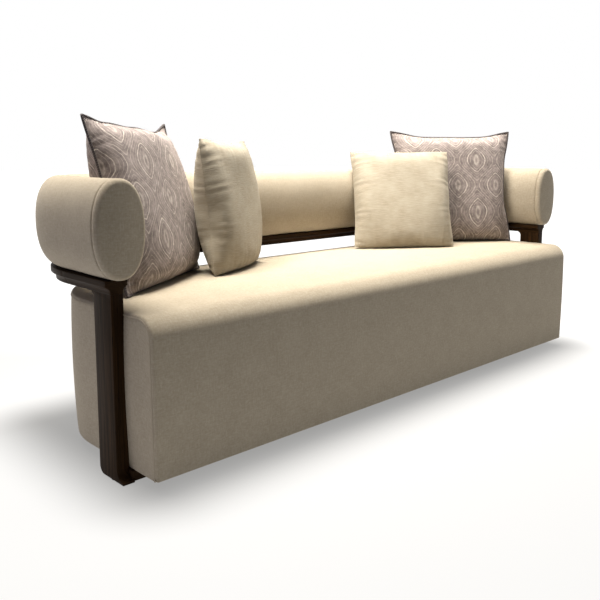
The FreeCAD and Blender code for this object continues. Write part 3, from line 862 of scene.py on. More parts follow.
    def end_panel(self, side: Side) -> bpy.types.Object:
        """The cloth of one end, which runs on round the rear corner.

        Its upper seam falls on a quarter circle over the front edge.

        Args:
            side: which end.

        Returns:
            The panel as an open sheet with a thickness.
        """
        start = SEAT_FRONT + self.seam
        places, outward, run = self.outline(start, side)
        reach = np.clip((start + self.bend - places[:, 1]) / self.bend, 0.0, 1.0)
        roof = self.top - self.seam - self.bend * (1.0 - np.sqrt(1.0 - reach ** 2))
        roof[0] = self.top - self.seam - self.bend
        ends = np.minimum(run, run[-1] - run)
        obj = self.band(places, outward, run, roof, ends).build("end_panel_cloth_" + side.name.lower())
        thicken(obj, self.cloth)
        return obj

    def rear_panel(self) -> bpy.types.Object:
        """The plain cloth of the back of the seat, between the round corners.

        Returns:
            The panel as an open sheet with a thickness.
        """
        near = np.array([0.0, 0.001, 0.0025, 0.005, 0.012])
        wide = self.inner - 0.03
        x = np.concatenate([-self.inner + near, np.linspace(-wide, wide, 90), self.inner - near[::-1]])
        places = np.stack([x, np.full(len(x), self.rear)], -1)
        outward = np.tile((0.0, 1.0), (len(x), 1))
        roof = np.full(len(x), self.top - self.seam)
        ends = self.inner - np.abs(x)
        obj = self.band(places, outward, x + self.inner, roof, ends).build("rear_panel_cloth")
        thicken(obj, self.cloth)
        return obj

    def end_welt(self, side: Side) -> bpy.types.Object:
        """The sewn welt of one end.

        It runs up the front, back along the end, round the rear corner and to the middle of the back.

        Args:
            side: which end.

        Returns:
            The welt as a closed tube.
        """
        start = SEAT_FRONT + self.seam
        roof = self.top - self.seam
        up_z = np.linspace(self.bottom + 0.002, roof - self.bend, 40)
        angle = quarter(14)[1:]
        back_y = np.linspace(start + self.bend, self.turn, 30)[1:]
        phi = quarter(37)[1:]
        rear_x = np.linspace(self.inner, 0.0, 60)[1:]
        end, rear = len(up_z) + len(angle) + len(back_y), len(rear_x)
        x = np.concatenate([np.full(end, self.half_length), self.inner + self.corner * np.cos(phi), rear_x])
        y = np.concatenate([np.full(len(up_z), start), start + self.bend * (1.0 - np.cos(angle)), back_y,
                            self.turn + self.corner * np.sin(phi), np.full(rear, self.rear)])
        z = np.concatenate([up_z, roof - self.bend * (1.0 - np.sin(angle)),
                            np.full(len(back_y) + len(phi) + rear, roof)])
        out_x = np.concatenate([np.ones(end), np.cos(phi), np.zeros(rear)])
        out_y = np.concatenate([np.zeros(end), np.sin(phi), np.ones(rear)])
        proud = self.lean(z) - 0.0004
        path = np.stack([side.value * (x + proud * out_x), y + proud * out_y, z], -1)
        up = np.stack([side.value * out_x, out_y, np.zeros(len(x))], -1)
        return tube(path, self.welt, 10, up, closed=False).build("end_welt_cloth_" + side.name.lower())

    def dress(self, materials: Materials) -> None:
        """Builds every piece of the seat and sets it on the sofa.

        Args:
            materials: the materials by slot.
        """
        cover = self.cover()
        give(cover, "sofa_fabric", "sofa", ["seat_top_cover", "seat_foam", "front_padding"], materials)
        for side in Side:
            name = side.name.lower()
            panel = self.end_panel(side)
            give(panel, "sofa_fabric", "sofa", ["end_panel_" + name, "end_padding_" + name], materials)
            give(self.end_welt(side), "sofa_fabric", "sofa", ["end_welt_" + name], materials)
        rear = self.rear_panel()
        give(rear, "sofa_fabric", "sofa", ["rear_panel", "rear_padding"], materials)


@dataclass
class Bow:
    """A U-shaped line in plan: along the left arm, round the corner, along the back and out the right arm."""

    half_span: float
    back_line: float
    corner: float
    start: float

    @property
    def turn(self) -> float:
        """Y where the corners begin."""
        return SEAT_FRONT + self.back_line - self.corner

    def arm(self, count: int) -> tuple[np.ndarray, np.ndarray]:
        """Points and outward directions along the left arm, from its front to the corner."""
        y = np.linspace(self.start, self.turn, count)
        return np.stack([np.full(count, -self.half_span), y], -1), np.tile((-1.0, 0.0), (count, 1))

    def bend(self, count: int) -> tuple[np.ndarray, np.ndarray]:
        """The left corner, on a quarter circle.

        Args:
            count: how many points it has.

        Returns:
            Points and outward directions.
        """
        phi = quarter(count)
        out = np.stack([-np.cos(phi), np.sin(phi)], -1)
        middle = np.array([-self.half_span + self.corner, self.turn])
        return middle + self.corner * out, out

    def back(self, count: int) -> tuple[np.ndarray, np.ndarray]:
        """The straight back, from left to right.

        Args:
            count: how many points it has.

        Returns:
            Points and outward directions.
        """
        inner = self.half_span - self.corner
        x = np.linspace(-inner, inner, count)
        return np.stack([x, np.full(count, SEAT_FRONT + self.back_line)], -1), np.tile((0.0, 1.0), (count, 1))

    def whole(self, arm: int, bend: int, back: int) -> tuple[np.ndarray, np.ndarray]:
        """The whole U, from the front of the left arm to that of the right.

        Args:
            arm, bend, back: how many points each stretch has.

        Returns:
            Points and outward directions.
        """
        points, out = (np.concatenate([straight, curved[1:]])
                       for straight, curved in zip(self.arm(arm), self.bend(bend)))
        rear = [part[1:-1] for part in self.back(back)]
        return (np.concatenate([points, rear[0], points[::-1] * FLIP]),
                np.concatenate([out, rear[1], out[::-1] * FLIP]))

    def inside(self, x: np.ndarray, y: np.ndarray) -> tuple[np.ndarray, np.ndarray, np.ndarray]:
        """How far points stand inside the U.

        Args:
            x, y: plan places.

        Returns:
            The distance from the line, positive inside, and the two parts of the inward direction.
        """
        across = np.abs(x) - (self.half_span - self.corner)
        along = y - self.turn
        in_corner = (across > 0.0) & (along > 0.0)
        reach = np.maximum(np.hypot(across, along), 1e-9)
        arm_side = ~in_corner & ((along <= 0.0) | ((across > along) & (across > 0.0)))
        gap = self.corner - np.where(in_corner, reach, np.where(arm_side, across, along))
        in_x = np.where(in_corner, -np.sign(x) * across / reach, np.where(arm_side, -np.sign(x), 0.0))
        in_y = np.where(in_corner, -along / reach, np.where(arm_side, 0.0, -1.0))
        return gap, in_x, in_y


@dataclass
class Roll:
    """The padded roll: a cloth sleeve of oval section along the U, and a domed cap on each front end.

    The steps are the sleeve's rows along an arm, round a corner and along the back.
    """

    bow: Bow = field(default_factory=lambda: Bow(1.0605, 0.6465, 0.287, SEAT_FRONT + 0.1215))
    half_width: float = 0.0705
    half_height: float = 0.126
    centre: float = 0.653
    power: float = 2.25
    cap_length: float = 0.022
    cap_round: float = 0.014
    cap_dome: float = 0.005
    groove: float = 0.0045
    sides: int = 88
    steps: tuple[int, int, int] = (34, 44, 130)

    def section(self) -> tuple[np.ndarray, np.ndarray]:
        """The oval as a superellipse, from its underside round: x = sgn(c) |c|^(2/n), z = sgn(s) |s|^(2/n).

        Returns:
            Places across and up, from -1 to 1.
        """
        angle = np.linspace(0.0, FULL_TURN, self.sides, endpoint=False) - np.pi / 2
        c, s = np.cos(angle), np.sin(angle)
        return np.sign(c) * np.abs(c) ** (2.0 / self.power), np.sign(s) * np.abs(s) ** (2.0 / self.power)

    def sleeve(self) -> bpy.types.Object:
        """The sleeve, slightly uneven as hand-stretched cloth is, turned in where the caps are sewn on.

        Each end has closer rows, which take the place of the first two. The unevenness is two sine waves
        along the roll, one with three lobes round it and one with a single lobe.

        Returns:
            The sleeve, closed at both ends.
        """
        path, out = self.bow.whole(*self.steps)
        near = np.array([0.0, 0.0008, 0.002, 0.004, 0.007, 0.011])
        first = path[0] + np.outer(near, (0.0, 1.0))
        path = np.concatenate([first[:-1], path[2:-2], (first * FLIP)[::-1][1:]])
        rows = len(near) - 1
        out = np.concatenate([out[:1].repeat(rows, 0), out[2:-2], out[-1:].repeat(rows, 0)])
        run = lengths(path)
        a, b = self.section()
        ends = np.minimum(run, run[-1] - run)
        dip = self.groove * (1.0 - smooth(ends, -0.0005, 0.0045))
        around = FULL_TURN * np.arange(self.sides) / self.sides
        wave = 0.0007 * np.sin(23.0 * run)[:, None] * np.sin(3.0 * around)
        wave += 0.0006 * np.sin(11.0 * run + 1.1)[:, None] * np.cos(around)
        side = (self.half_width - dip)[:, None] * a + wave * a
        points = np.empty((len(path), self.sides, 3))
        points[..., :2] = path[:, None] + out[:, None] * side[..., None]
        points[..., 2] = self.centre + (self.half_height - dip)[:, None] * b + wave * b
        loop = np.stack([self.half_width * a, self.half_height * b], -1)
        shell = Shell()
        shell.add(points, flat_grid(run, girth(loop)), closed=True)
        shell.cap(points[0])
        shell.cap(points[-1])
        return shell.build("roll_sleeve")

    def end_cap(self, side: Side) -> bpy.types.Object:
        """One padded cap: from the seam forward, over a rounded edge and across a low dome to its middle.

        Ring k is the oval shrunk by inset_k on every side and moved forward by reach_k.

        Args:
            side: which arm.

        Returns:
            The cap, closed at the seam.
        """
        length, edge = self.cap_length, self.cap_round
        theta = quarter(12)
        seam_reach = np.array([0.0, 0.0008, 0.002, 0.004])
        seam_inset = self.groove * (1.0 - smooth(seam_reach, -0.0005, 0.004))
        face = np.linspace(0.0, 1.0, 14)[1:]
        reach = np.concatenate([seam_reach, length - edge + edge * np.sin(theta),
                                length + self.cap_dome * np.sin(face * np.pi / 2)])
        border = np.concatenate([seam_inset, edge * (1.0 - np.cos(theta))])
        a, b = self.section()
        wide = self.half_width - np.concatenate([border, edge + (self.half_width - edge) * face])
        tall = np.concatenate([self.half_height - border, (self.half_height - edge) * (1.0 - face)])
        points = np.empty((len(reach), self.sides, 3))
        points[..., 0] = side.value * self.bow.half_span + wide[:, None] * a
        points[..., 1] = (self.bow.start - reach)[:, None]
        points[..., 2] = self.centre + tall[:, None] * b
        shell = Shell()
        shell.add(points, come_round(points[..., [0, 2]]), closed=True)
        shell.cap(points[0])
        return shell.build("roll_cap_" + side.name.lower())

    def clear(self, points: np.ndarray, gap: float) -> np.ndarray:
        """Moves points that stand in the roll out to its inner side.

        Args:
            points: points x 3.
            gap: what is left between them and the roll.

        Returns:
            The moved points.
        """
        high = np.clip(np.abs(points[:, 2] - self.centre) / self.half_height, 0.0, 1.0)
        skin = self.half_width * (1.0 - high ** self.power) ** (1.0 / self.power)
        skin = np.where(high >= 1.0, -1.0, skin + gap)
        inside, in_x, in_y = self.bow.inside(points[:, 0], points[:, 1])
        short = np.maximum(skin - inside, 0.0)
        moved = points.copy()
        moved[:, 0] += short * in_x
        moved[:, 1] += short * in_y
        return moved

    def dress(self, materials: Materials) -> None:
        """Builds the sleeve and both caps and sets them on the sofa.

        Args:
            materials: the materials by slot.
        """
        foam = ["roll_foam_arm_left", "roll_foam_arm_right", "roll_foam_corner_left",
                "roll_foam_corner_right", "roll_foam_back"]
        sleeve = self.sleeve()
        give(sleeve, "sofa_fabric", "sofa", ["roll_cover"] + foam, materials)
        for side in Side:
            cap = self.end_cap(side)
            give(cap, "sofa_fabric", "sofa", ["roll_end_cap_" + side.name.lower()], materials)


@dataclass
class WoodenFrame:
    """The rail, in five lengths, and four posts, all with eased edges.

    The joint is how far the edges are eased where two lengths of rail meet. A foot plate's sink is how far it
    runs into its post.
    """

    bow: Bow = field(default_factory=lambda: Bow(1.0655, 0.6515, 0.292, SEAT_FRONT + 0.126))
    rail_width: float = 0.062
    rail_lip: float = 0.016
    rail_neck: float = 0.020
    rail_top: float = 0.527
    post_thickness: float = 0.035
    post_depth: float = 0.090
    post_inner: float = 1.048
    post_front: float = 0.126
    rear_post: float = 0.700
    toe: float = 0.028
    toe_height: float = 0.009
    heel: float = 0.022
    fillet: float = 0.018
    foot_reach: float = 0.118
    foot_inset: float = -0.024
    foot_length: float = 0.076
    foot_top: float = 0.033
    foot_round: float = 0.004
    foot_ease: float = 0.0015
    foot_sink: float = 0.004
    floor_gap: float = 0.003
    ease: float = 0.0018
    joint: float = 0.0005

    @property
    def rail_bottom(self) -> float:
        """Z of the rail's underside."""
        return self.rail_top - self.rail_lip - self.rail_neck

    @staticmethod
    def arc(centre: tuple[float, float], radius: float, first: float, last: float, count: int) -> np.ndarray:
        """Points on a circle between two angles in degrees."""
        angle = np.radians(np.linspace(first, last, count))
        return np.stack([centre[0] + radius * np.cos(angle), centre[1] + radius * np.sin(angle)], -1)

    def rail_section(self) -> np.ndarray:
        """The rail's section, counter-clockwise: lip with eased corners over a hollow neck.

        The neck runs out as t^2.2 while it rises as t^0.75.

        Returns:
            Points across and up.
        """
        half, neck, e = self.rail_width / 2, self.post_thickness / 2, self.ease
        lip = self.rail_top - self.rail_lip
        t = np.linspace(0.0, 1.0, 9)
        hollow_x = neck + (half - e - neck) * t ** 2.2
        hollow_z = self.rail_bottom + (lip - self.rail_bottom) * t ** 0.75
        right = np.concatenate([
            np.stack([hollow_x, hollow_z], -1),
            self.arc((half - e, lip + e), e, -70.0, 0.0, 5),
            self.arc((half - e, self.rail_top - e), e, 0.0, 90.0, 6)])
        return np.concatenate([right, right[::-1] * FLIP])

    @staticmethod
    def inset(loop: np.ndarray, depth: float) -> np.ndarray:
        """Moves a counter-clockwise loop inwards along the mean of its neighbouring edges' normals.

        Args:
            loop: points x 2.
            depth: how far it moves.

        Returns:
            The moved loop.
        """
        ahead = np.roll(loop, -1, axis=0) - loop
        ahead /= np.maximum(np.linalg.norm(ahead, axis=1, keepdims=True), 1e-9)
        mean = ahead + np.roll(ahead, 1, axis=0)
        mean /= np.maximum(np.linalg.norm(mean, axis=1, keepdims=True), 1e-9)
        return loop + depth * np.stack([-mean[:, 1], mean[:, 0]], -1)

    def rail_piece(self, name: str, path: np.ndarray, out: np.ndarray,
                   eases: tuple[float, float]) -> bpy.types.Object:
        """One length of rail: the section carried along a plan line, with its two end edges eased.

        Args:
            name: the object's name.
            path: plan points.
            out: plan directions across the rail.
            eases: how far each end's edges are eased.

        Returns:
            The closed piece.
        """
        run = lengths(path)
        section = self.rail_section()
        ends = []
        for end, step, ease in ((0, 1, eases[0]), (-1, -1, eases[1])):
            ahead = path[end + step] - path[end]
            shift = ease * (1.0 - np.cos(EASE_STEPS))
            depths = ease * (1.0 - np.sin(EASE_STEPS))
            ends.append((np.array([self.inset(section, depth) for depth in depths]),
                         path[end] + np.outer(shift, ahead / np.linalg.norm(ahead)),
                         np.tile(out[end], (len(shift), 1)), run[end] + step * shift))
        body = (np.tile(section, (len(path) - 2, 1, 1)), path[1:-1], out[1:-1], run[1:-1])
        loops, places, across, along = (np.concatenate([first, middle, last[::-1]])
                                        for first, middle, last in zip(ends[0], body, ends[1]))
        points = np.empty(loops.shape[:2] + (3,))
        points[..., :2] = places[:, None] + across[:, None] * loops[..., :1]
        points[..., 2] = loops[..., 1]
        shell = Shell()
        shell.add(points, flat_grid(along, girth(section)), closed=True)
        for loop in (points[0], points[-1]):
            self.flat_end(shell, loop)
        return shell.build(name)

    @staticmethod
    def flat_end(shell: Shell, loop: np.ndarray) -> None:
        """Closes a loop that is the same left and right with strips from each side to its mirror point.

        Args:
            shell: what takes the strips.
            loop: points x 3.
        """
        half = len(loop) // 2
        near, far = loop[:half], loop[half:][::-1]
        t = np.linspace(0.0, 1.0, 5)[None, :, None]
        rows = near[:, None] * (1.0 - t) + far[:, None] * t
        width = np.linalg.norm(rows - rows[:1, :1], axis=2)
        shell.add(rows, np.stack([rows[..., 2], width], -1))

    def post_outline(self) -> np.ndarray:
        """The post's outline in depth and height, counter-clockwise from the toe's lower front corner.

        Returns:
            Points, with depths counted from the front of the post.
        """
        low, back, top = self.floor_gap, self.post_depth, self.rail_bottom
        under_y = np.linspace(-self.toe, back - self.heel, 10)[:-1]
        rear_z = np.linspace(low + self.heel, top - self.fillet, 32)[1:-1]
        roof_y = np.linspace(back + self.fillet, 0.0, 12)[1:-1]
        front_z = np.linspace(top, self.toe_height + self.toe, 32)
        return np.concatenate([
            np.stack([under_y, np.full(len(under_y), low)], -1),
            self.arc((back - self.heel, low + self.heel), self.heel, -90.0, 0.0, 12),
            np.stack([np.full(len(rear_z), back), rear_z], -1),
            self.arc((back + self.fillet, top - self.fillet), self.fillet, 180.0, 90.0, 9),
            np.stack([roof_y, np.full(len(roof_y), top)], -1),
            np.stack([np.zeros(len(front_z)), front_z], -1),
            self.arc((-self.toe, self.toe_height + self.toe), self.toe, 0.0, -90.0, 10)[1:]])

    def post(self, name: str, place: np.ndarray, across: np.ndarray, back: np.ndarray) -> bpy.types.Object:
        """One post with its foot plate: the outline carried through its thickness, edges eased on both faces.

        Args:
            name: the object's name.
            place: plan place of the inner front corner.
            across: plan direction from the inner to the outer face.
            back: plan direction from the front to the back of the post.

        Returns:
            The post as one object.
        """
        outline = self.post_outline()
        depth = self.ease * (1.0 - np.sin(EASE_STEPS))
        inner = self.ease * (1.0 - np.cos(EASE_STEPS))
        level = np.concatenate([inner, self.post_thickness - inner[::-1]])
        loops = np.array([self.inset(outline, d) for d in np.concatenate([depth, depth[::-1]])])
        top = self.rail_bottom
        loops[..., 1] = np.where(outline[None, :, 1] >= top - 1e-6, top, np.minimum(loops[..., 1], top))
        flat = np.stack([loops[..., 1], level[:, None] + loops[..., 0]], -1)
        shell = Shell()
        shell.add(self.stand(place, across, back, level, loops), come_round(flat), closed=True)
        obj = shell.build(name)
        self.close_faces(obj)
        foot = self.foot(name + "_foot", place, across, back)
        with bpy.context.temp_override(active_object=obj, selected_editable_objects=[obj, foot]):
            bpy.ops.object.join()
        return obj

    @staticmethod
    def stand(place: np.ndarray, across: np.ndarray, back: np.ndarray, level: np.ndarray,
              loops: np.ndarray) -> np.ndarray:
        """Sets loops of depth and height upright in the sofa, each at its level across the post."""
        plan = place + across * level[:, None, None] + back * loops[..., :1]
        return np.concatenate([plan, loops[..., 1:]], axis=-1)

    @staticmethod
    def close_faces(obj: bpy.types.Object) -> None:
        """Fills the two flat faces of a post and maps the post with the grain upright.

        Args:
            obj: the post.
        """
        face_outwards(obj, fill=True)
        mesh = obj.data
        corner = np.empty(len(mesh.loops), dtype=np.int32)
        mesh.loops.foreach_get("vertex_index", corner)
        places = np.empty(len(mesh.vertices) * 3, dtype=np.float32)
        mesh.vertices.foreach_get("co", places)
        places = places.reshape(-1, 3)[corner]
        flat = np.stack([places[:, 2], places[:, 0] + places[:, 1]], -1)
        mesh.uv_layers[FLAT_MAP].uv.foreach_set("vector", flat.astype(np.float32).ravel())
        mesh.set_sharp_from_angle(angle=math.radians(50.0))

    def foot(self, name: str, place: np.ndarray, across: np.ndarray, back: np.ndarray) -> bpy.types.Object:
        """The foot plate that runs in under the seat: a flat bar with rounded corners.

        Args:
            name: the object's name.
            place: plan place of the post's inner front corner.
            across: plan direction from the post's inner to its outer face.
            back: plan direction from the front to the back of the post.

        Returns:
            The closed plate.
        """
        r = self.foot_round
        near, far = self.foot_inset + r, self.foot_inset + self.foot_length - r
        low, high = self.floor_gap + r, self.foot_top - r
        corners = ((near, low, 180.0), (far, low, -90.0), (far, high, 0.0), (near, high, 90.0))
        loop = np.concatenate([self.arc((y, z), r, turn, turn + 90.0, 5) for y, z, turn in corners])
        tip = -self.foot_reach
        level = np.array([tip, tip + self.foot_ease, -0.06, self.foot_sink])
        loops = np.array([self.inset(loop, self.foot_ease), loop, loop, loop])
        points = self.stand(place, across, back, level, loops)
        shell = Shell()
        shell.add(points, flat_grid(level, girth(loop)), closed=True)
        shell.cap(points[0])
        shell.cap(points[-1])
        return shell.build(name)

    def dress(self, materials: Materials) -> None:
        """Builds rail and posts and sets them on the sofa.

        Args:
            materials: the materials by slot.
        """
        arm, bend = self.bow.arm(16), self.bow.bend(40)
        front, plain = (self.ease, self.joint), (self.joint, self.joint)
        pieces = {"arm_rail_left": (arm, front), "corner_rail_left": (bend, plain),
                  "arm_rail_right": ([part * FLIP for part in arm], front),
                  "corner_rail_right": ([part * FLIP for part in bend], plain),
                  "back_rail": (self.bow.back(50), plain)}
        for name, (line, eases) in pieces.items():
            rail = self.rail_piece(name + "_wood", line[0], line[1], eases)
            give(rail, "dark_wood", "sofa", [name], materials)
        for side in Side:
            name = side.name.lower()
            sign = float(side.value)
            place = np.array([sign * self.post_inner, SEAT_FRONT + self.post_front])
            post = self.post("side_post_wood_" + name, place, np.array([sign, 0.0]), np.array([0.0, 1.0]))
            give(post, "dark_wood", "sofa", ["side_post_" + name], materials)
            place = np.array([sign * (self.rear_post + self.post_depth / 2),
                              SEAT_FRONT + self.bow.back_line - self.post_thickness / 2])
            post = self.post("rear_post_wood_" + name, place, np.array([0.0, 1.0]), np.array([-sign, 0.0]))
            give(post, "dark_wood", "sofa", ["rear_post_" + name], materials)


@dataclass
class Cushion:
    """A loose cushion: two panels sewn together and blown up by a cloth run, then set on the seat.

    The size is its width, height and thickness, and the corner is where its lower left corner stands. The
    dent is a hollow in its upper edge: where it is along that edge from -1 to 1, how deep and how wide. The
    bow is how far its middle is pushed back, and the flare is how much wider its upper edge is. The panels
    are cut larger by the spare, with sides bowed by the barrel, and the back panel is cut apart from the
    front one on the bolt, so that the print doesn't mirror.
    """

    name: str
    cloth: Cloth
    size: Triple
    corner: Triple
    turn: float
    lean: float
    slump: float = 0.10
    dent: Triple = (0.0, 0.0, 0.3)
    bow: float = 0.0
    flare: float = 0.0
    cells: int = 96
    spare: float = 1.035
    barrel: float = 0.085
    cut_apart: tuple[float, float] = (0.047, 0.031)
    pressure: float = 5.0
    frames: int = 30
    rounds: int = 60
    pinch: float = 0.0
    gather: float = 0.0015
    gather_gap: float = 0.028
    gather_reach: float = 0.020
    piping: float = 0.0036
    clearance: float = 0.0015
    give_way: float = 0.010

    def bag(self) -> tuple[np.ndarray, np.ndarray, np.ndarray]:
        """The two flat panels, a hair apart in the middle and joined along their edges.

        They are cut with bowed sides, x (1 + barrel (1 - v^2)), so that the filled cushion comes out square.

        Returns:
            Points, quads and, for each quad corner, the flat place on its panel.
        """
        n = self.cells + 1
        wide, tall, _ = self.size
        line = np.linspace(-1.0, 1.0, n)
        u, v = np.meshgrid(line, line)
        x = u * wide / 2 * self.spare * (1.0 + self.barrel * (1.0 - v ** 2))
        z = v * tall / 2 * self.spare * (1.0 + self.barrel * (1.0 - u ** 2))
        apart = 0.012 * (1.0 - u ** 2) * (1.0 - v ** 2)
        inner = np.zeros((n, n), bool)
        inner[1:-1, 1:-1] = True
        front = np.arange(n * n).reshape(n, n)
        back = front.copy()
        back[inner] = n * n + np.arange(int(inner.sum()))
        near, far = np.stack([x, -apart, z], -1), np.stack([x, apart, z], -1)
        points = np.concatenate([near.reshape(-1, 3), far[inner]])
        front_faces, back_faces = (
            np.stack([index[:-1, :-1], index[:-1, 1:], index[1:, 1:], index[1:, :-1]], -1).reshape(-1, 4)
            for index in (front, back))
        flat = np.stack([x, z], -1).reshape(-1, 2)[front_faces]
        faces = np.concatenate([front_faces, back_faces[:, ::-1]])
        return points, faces, np.concatenate([flat, flat[:, ::-1] * FLIP + self.cut_apart])

    def blow_up(self, points: np.ndarray, faces: np.ndarray) -> np.ndarray:
        """Runs the cloth under pressure until the cushion is as thick as it should be.

        Args:
            points: the flat bag.
            faces: its quads.

        Returns:
            The points of the filled bag, at the origin.
        """
        mesh = bpy.data.meshes.new("bag")
        mesh.from_pydata(points.tolist(), [], faces.tolist())
        bag = bpy.data.objects.new("bag", mesh)
        scene = bpy.context.scene
        scene.collection.objects.link(bag)
        cloth = bag.modifiers.new("filling", "CLOTH")
        cloth.settings.quality = 5
        cloth.settings.mass = 0.3
        cloth.settings.tension_stiffness = 40.0
        cloth.settings.compression_stiffness = 40.0
        cloth.settings.shear_stiffness = 13.0
        cloth.settings.bending_stiffness = 0.12
        cloth.settings.use_pressure = True
        cloth.settings.uniform_pressure_force = self.pressure
        cloth.settings.effector_weights.gravity = 0.0
        cloth.collision_settings.use_collision = False
        found = points
        for frame in range(1, self.frames + 1):
            scene.frame_set(frame)
            shape = bag.evaluated_get(bpy.context.evaluated_depsgraph_get()).data
            places = np.empty(len(points) * 3, dtype=np.float32)
            shape.vertices.foreach_get("co", places)
            found = places.reshape(-1, 3).astype(float)
            if np.ptp(found[:, 1]) >= self.size[2]:
                break
        log.info("%s: filled to %.0f mm in %d frames", self.name, MM * np.ptp(found[:, 1]), frame)
        bpy.data.objects.remove(bag)
        bpy.data.meshes.remove(mesh)
        scene.frame_set(1)
        return found

    def iron(self, points: np.ndarray) -> np.ndarray:
        """Takes the coarse buckles out of the filled panels and leaves short gathers along the seam.

        Each inner point is drawn towards the mean of its four neighbours, over and over, and each seam point
        towards the mean of its two, between the fixed corners. The filling is the mean of the four quarters,
        so that it is even, and is pinched near a piped seam.

        Args:
            points: the filled cushion at the origin.

        Returns:
            The smoothed points.
        """
        n = self.cells + 1
        front = points[:n * n].reshape(n, n, 3).copy()
        back = front.copy()
        back[1:-1, 1:-1] = points[n * n:].reshape(n - 2, n - 2, 3)
        for _ in range(self.rounds):
            for seam in (front[0], front[-1], front[:, 0], front[:, -1]):
                seam[1:-1] = 0.5 * seam[1:-1] + 0.25 * (seam[:-2] + seam[2:])
            for rim in (0, -1):
                back[rim] = front[rim]
                back[:, rim] = front[:, rim]
            for panel in (front, back):
                mean = (panel[:-2, 1:-1] + panel[2:, 1:-1] + panel[1:-1, :-2] + panel[1:-1, 2:]) / 4.0
                panel[1:-1, 1:-1] = 0.5 * (panel[1:-1, 1:-1] + mean)
        full = (back[..., 1] - front[..., 1]) / 8.0
        full = full + full[::-1] + full[:, ::-1] + full[::-1, ::-1]
        line = np.linspace(-1.0, 1.0, n)
        u, v = np.meshgrid(line, line)
        full *= 1.0 - self.pinch * smooth(np.maximum(np.abs(u), np.abs(v)), 0.7, 1.0)
        lift = self.gathers(u, v)
        front[..., 1] = -full - lift
        back[..., 1] = full + lift
        return np.concatenate([front.reshape(-1, 3), back[1:-1, 1:-1].reshape(-1, 3)])

    def gathers(self, u: np.ndarray, v: np.ndarray) -> np.ndarray:
        """How far the gathers lift the cloth.

        At a distance d from the seam it is h (d/r) exp(1 - d/r), times a sine along the seam. The sine is
        uneven: its pace, its reach r and its height h drift at rates that don't repeat together.

        Args:
            u, v: places on the panel, from -1 to 1.

        Returns:
            The lift at each place.
        """
        wide, tall, _ = self.size
        lift = np.zeros(u.shape)
        for along, side, over, end in ((v, tall, u, wide), (u, wide, v, tall)):
            turn = FULL_TURN * along * side / 2 / self.gather_gap
            fold = np.sin(turn + 0.9 * np.sin(0.43 * turn + self.turn) + 0.3 * np.sin(1.7 * turn))
            height = self.gather * (0.65 + 0.35 * np.sin(0.23 * turn - 1.2))
            drift = 1.0 - 0.3 * np.sin(0.31 * turn + 4.0)
            reach = (1.0 - np.abs(over)) * end / 2 / self.gather_reach * drift
            lift += height * reach * np.exp(1.0 - reach) * fold
        return lift

    def settle(self, points: np.ndarray, seat: Seat, roll: Roll) -> np.ndarray:
        """Sizes, slumps, leans, turns and stands the cushion, and flattens it where it meets seat and roll.

        Its lower seam is drawn straight, as the weight on it does, and the cloth above follows less and less.

        Args:
            points: the filled cushion at the origin.
            seat: what it stands on.
            roll: what it leans on.

        Returns:
            The points in the sofa's frame.
        """
        wide, tall, thick = self.size
        local = points * (np.array([wide, thick, tall]) / np.ptp(points, axis=0))
        across, level = local[:, 0] / (wide / 2), local[:, 2] / (tall / 2)
        local[:, 1] *= 1.0 - self.slump * level * (1.0 - level ** 2)
        local[:, 1] += self.bow * (1.0 - across ** 2) * (1.0 - level ** 2)
        place, depth, width = self.dent
        near = np.exp(-((across - place) / width) ** 2)
        local[:, 2] -= depth * near * smooth(level, 0.1, 1.0)
        seam = local[:self.cells + 1]
        drop = np.interp(local[:, 0], seam[:, 0], -tall / 2 - seam[:, 2])
        local[:, 2] += drop * smooth(-level, 0.1, 1.0)
        local[:, 0] *= 1.0 + self.flare * smooth(level, -0.2, 1.0)
        turn, lean = math.radians(self.turn), math.radians(self.lean)
        along = np.array([math.cos(turn), math.sin(turn), 0.0])
        back = np.array([-math.sin(turn), math.cos(turn), 0.0])
        rise = np.array([0.0, 0.0, math.cos(lean)]) + back * math.sin(lean)
        face = back * math.cos(lean) - np.array([0.0, 0.0, math.sin(lean)])
        corner = np.array(self.corner) + (0.0, SEAT_FRONT, 0.0)
        middle = corner + along * wide / 2 + rise * tall / 2
        placed = middle + local[:, :1] * along + local[:, 1:2] * face + local[:, 2:] * rise
        placed = roll.clear(placed, self.clearance)
        floor = seat.height(placed[:, 0], placed[:, 1]) + self.clearance
        above = placed[:, 2] - floor
        pressed = self.give_way * np.exp(np.minimum(above / self.give_way - 1.0, 0.0))
        placed[:, 2] = floor + np.where(above < self.give_way, pressed, above)
        return placed

    def build(self, seat: Seat, roll: Roll, materials: Materials) -> None:
        """Makes the cushion and its piping and sets them on the cushion's body.

        Args:
            seat: what it stands on.
            roll: what it leans on.
            materials: the materials by slot.
        """
        points, faces, flat = self.bag()
        filled = self.blow_up(points, faces)
        placed = self.settle(self.iron(filled), seat, roll)
        mesh = bpy.data.meshes.new(self.name)
        mesh.from_pydata(placed.tolist(), [], faces.tolist())
        layer = mesh.uv_layers.new(name=FLAT_MAP)
        layer.uv.foreach_set("vector", flat.astype(np.float32).ravel())
        mesh.shade_smooth()
        obj = bpy.data.objects.new(self.name + "_cushion", mesh)
        bpy.context.scene.collection.objects.link(obj)
        face_outwards(obj)
        finer = obj.modifiers.new("finer", "SUBSURF")
        finer.levels = 1
        finer.render_levels = 1
        nodes = [self.name + "_front", self.name + "_back", self.name + "_filling"]
        give(obj, self.cloth.value, self.name, nodes, materials)
        if self.cloth is Cloth.PATTERNED:
            self.add_piping(placed, materials)

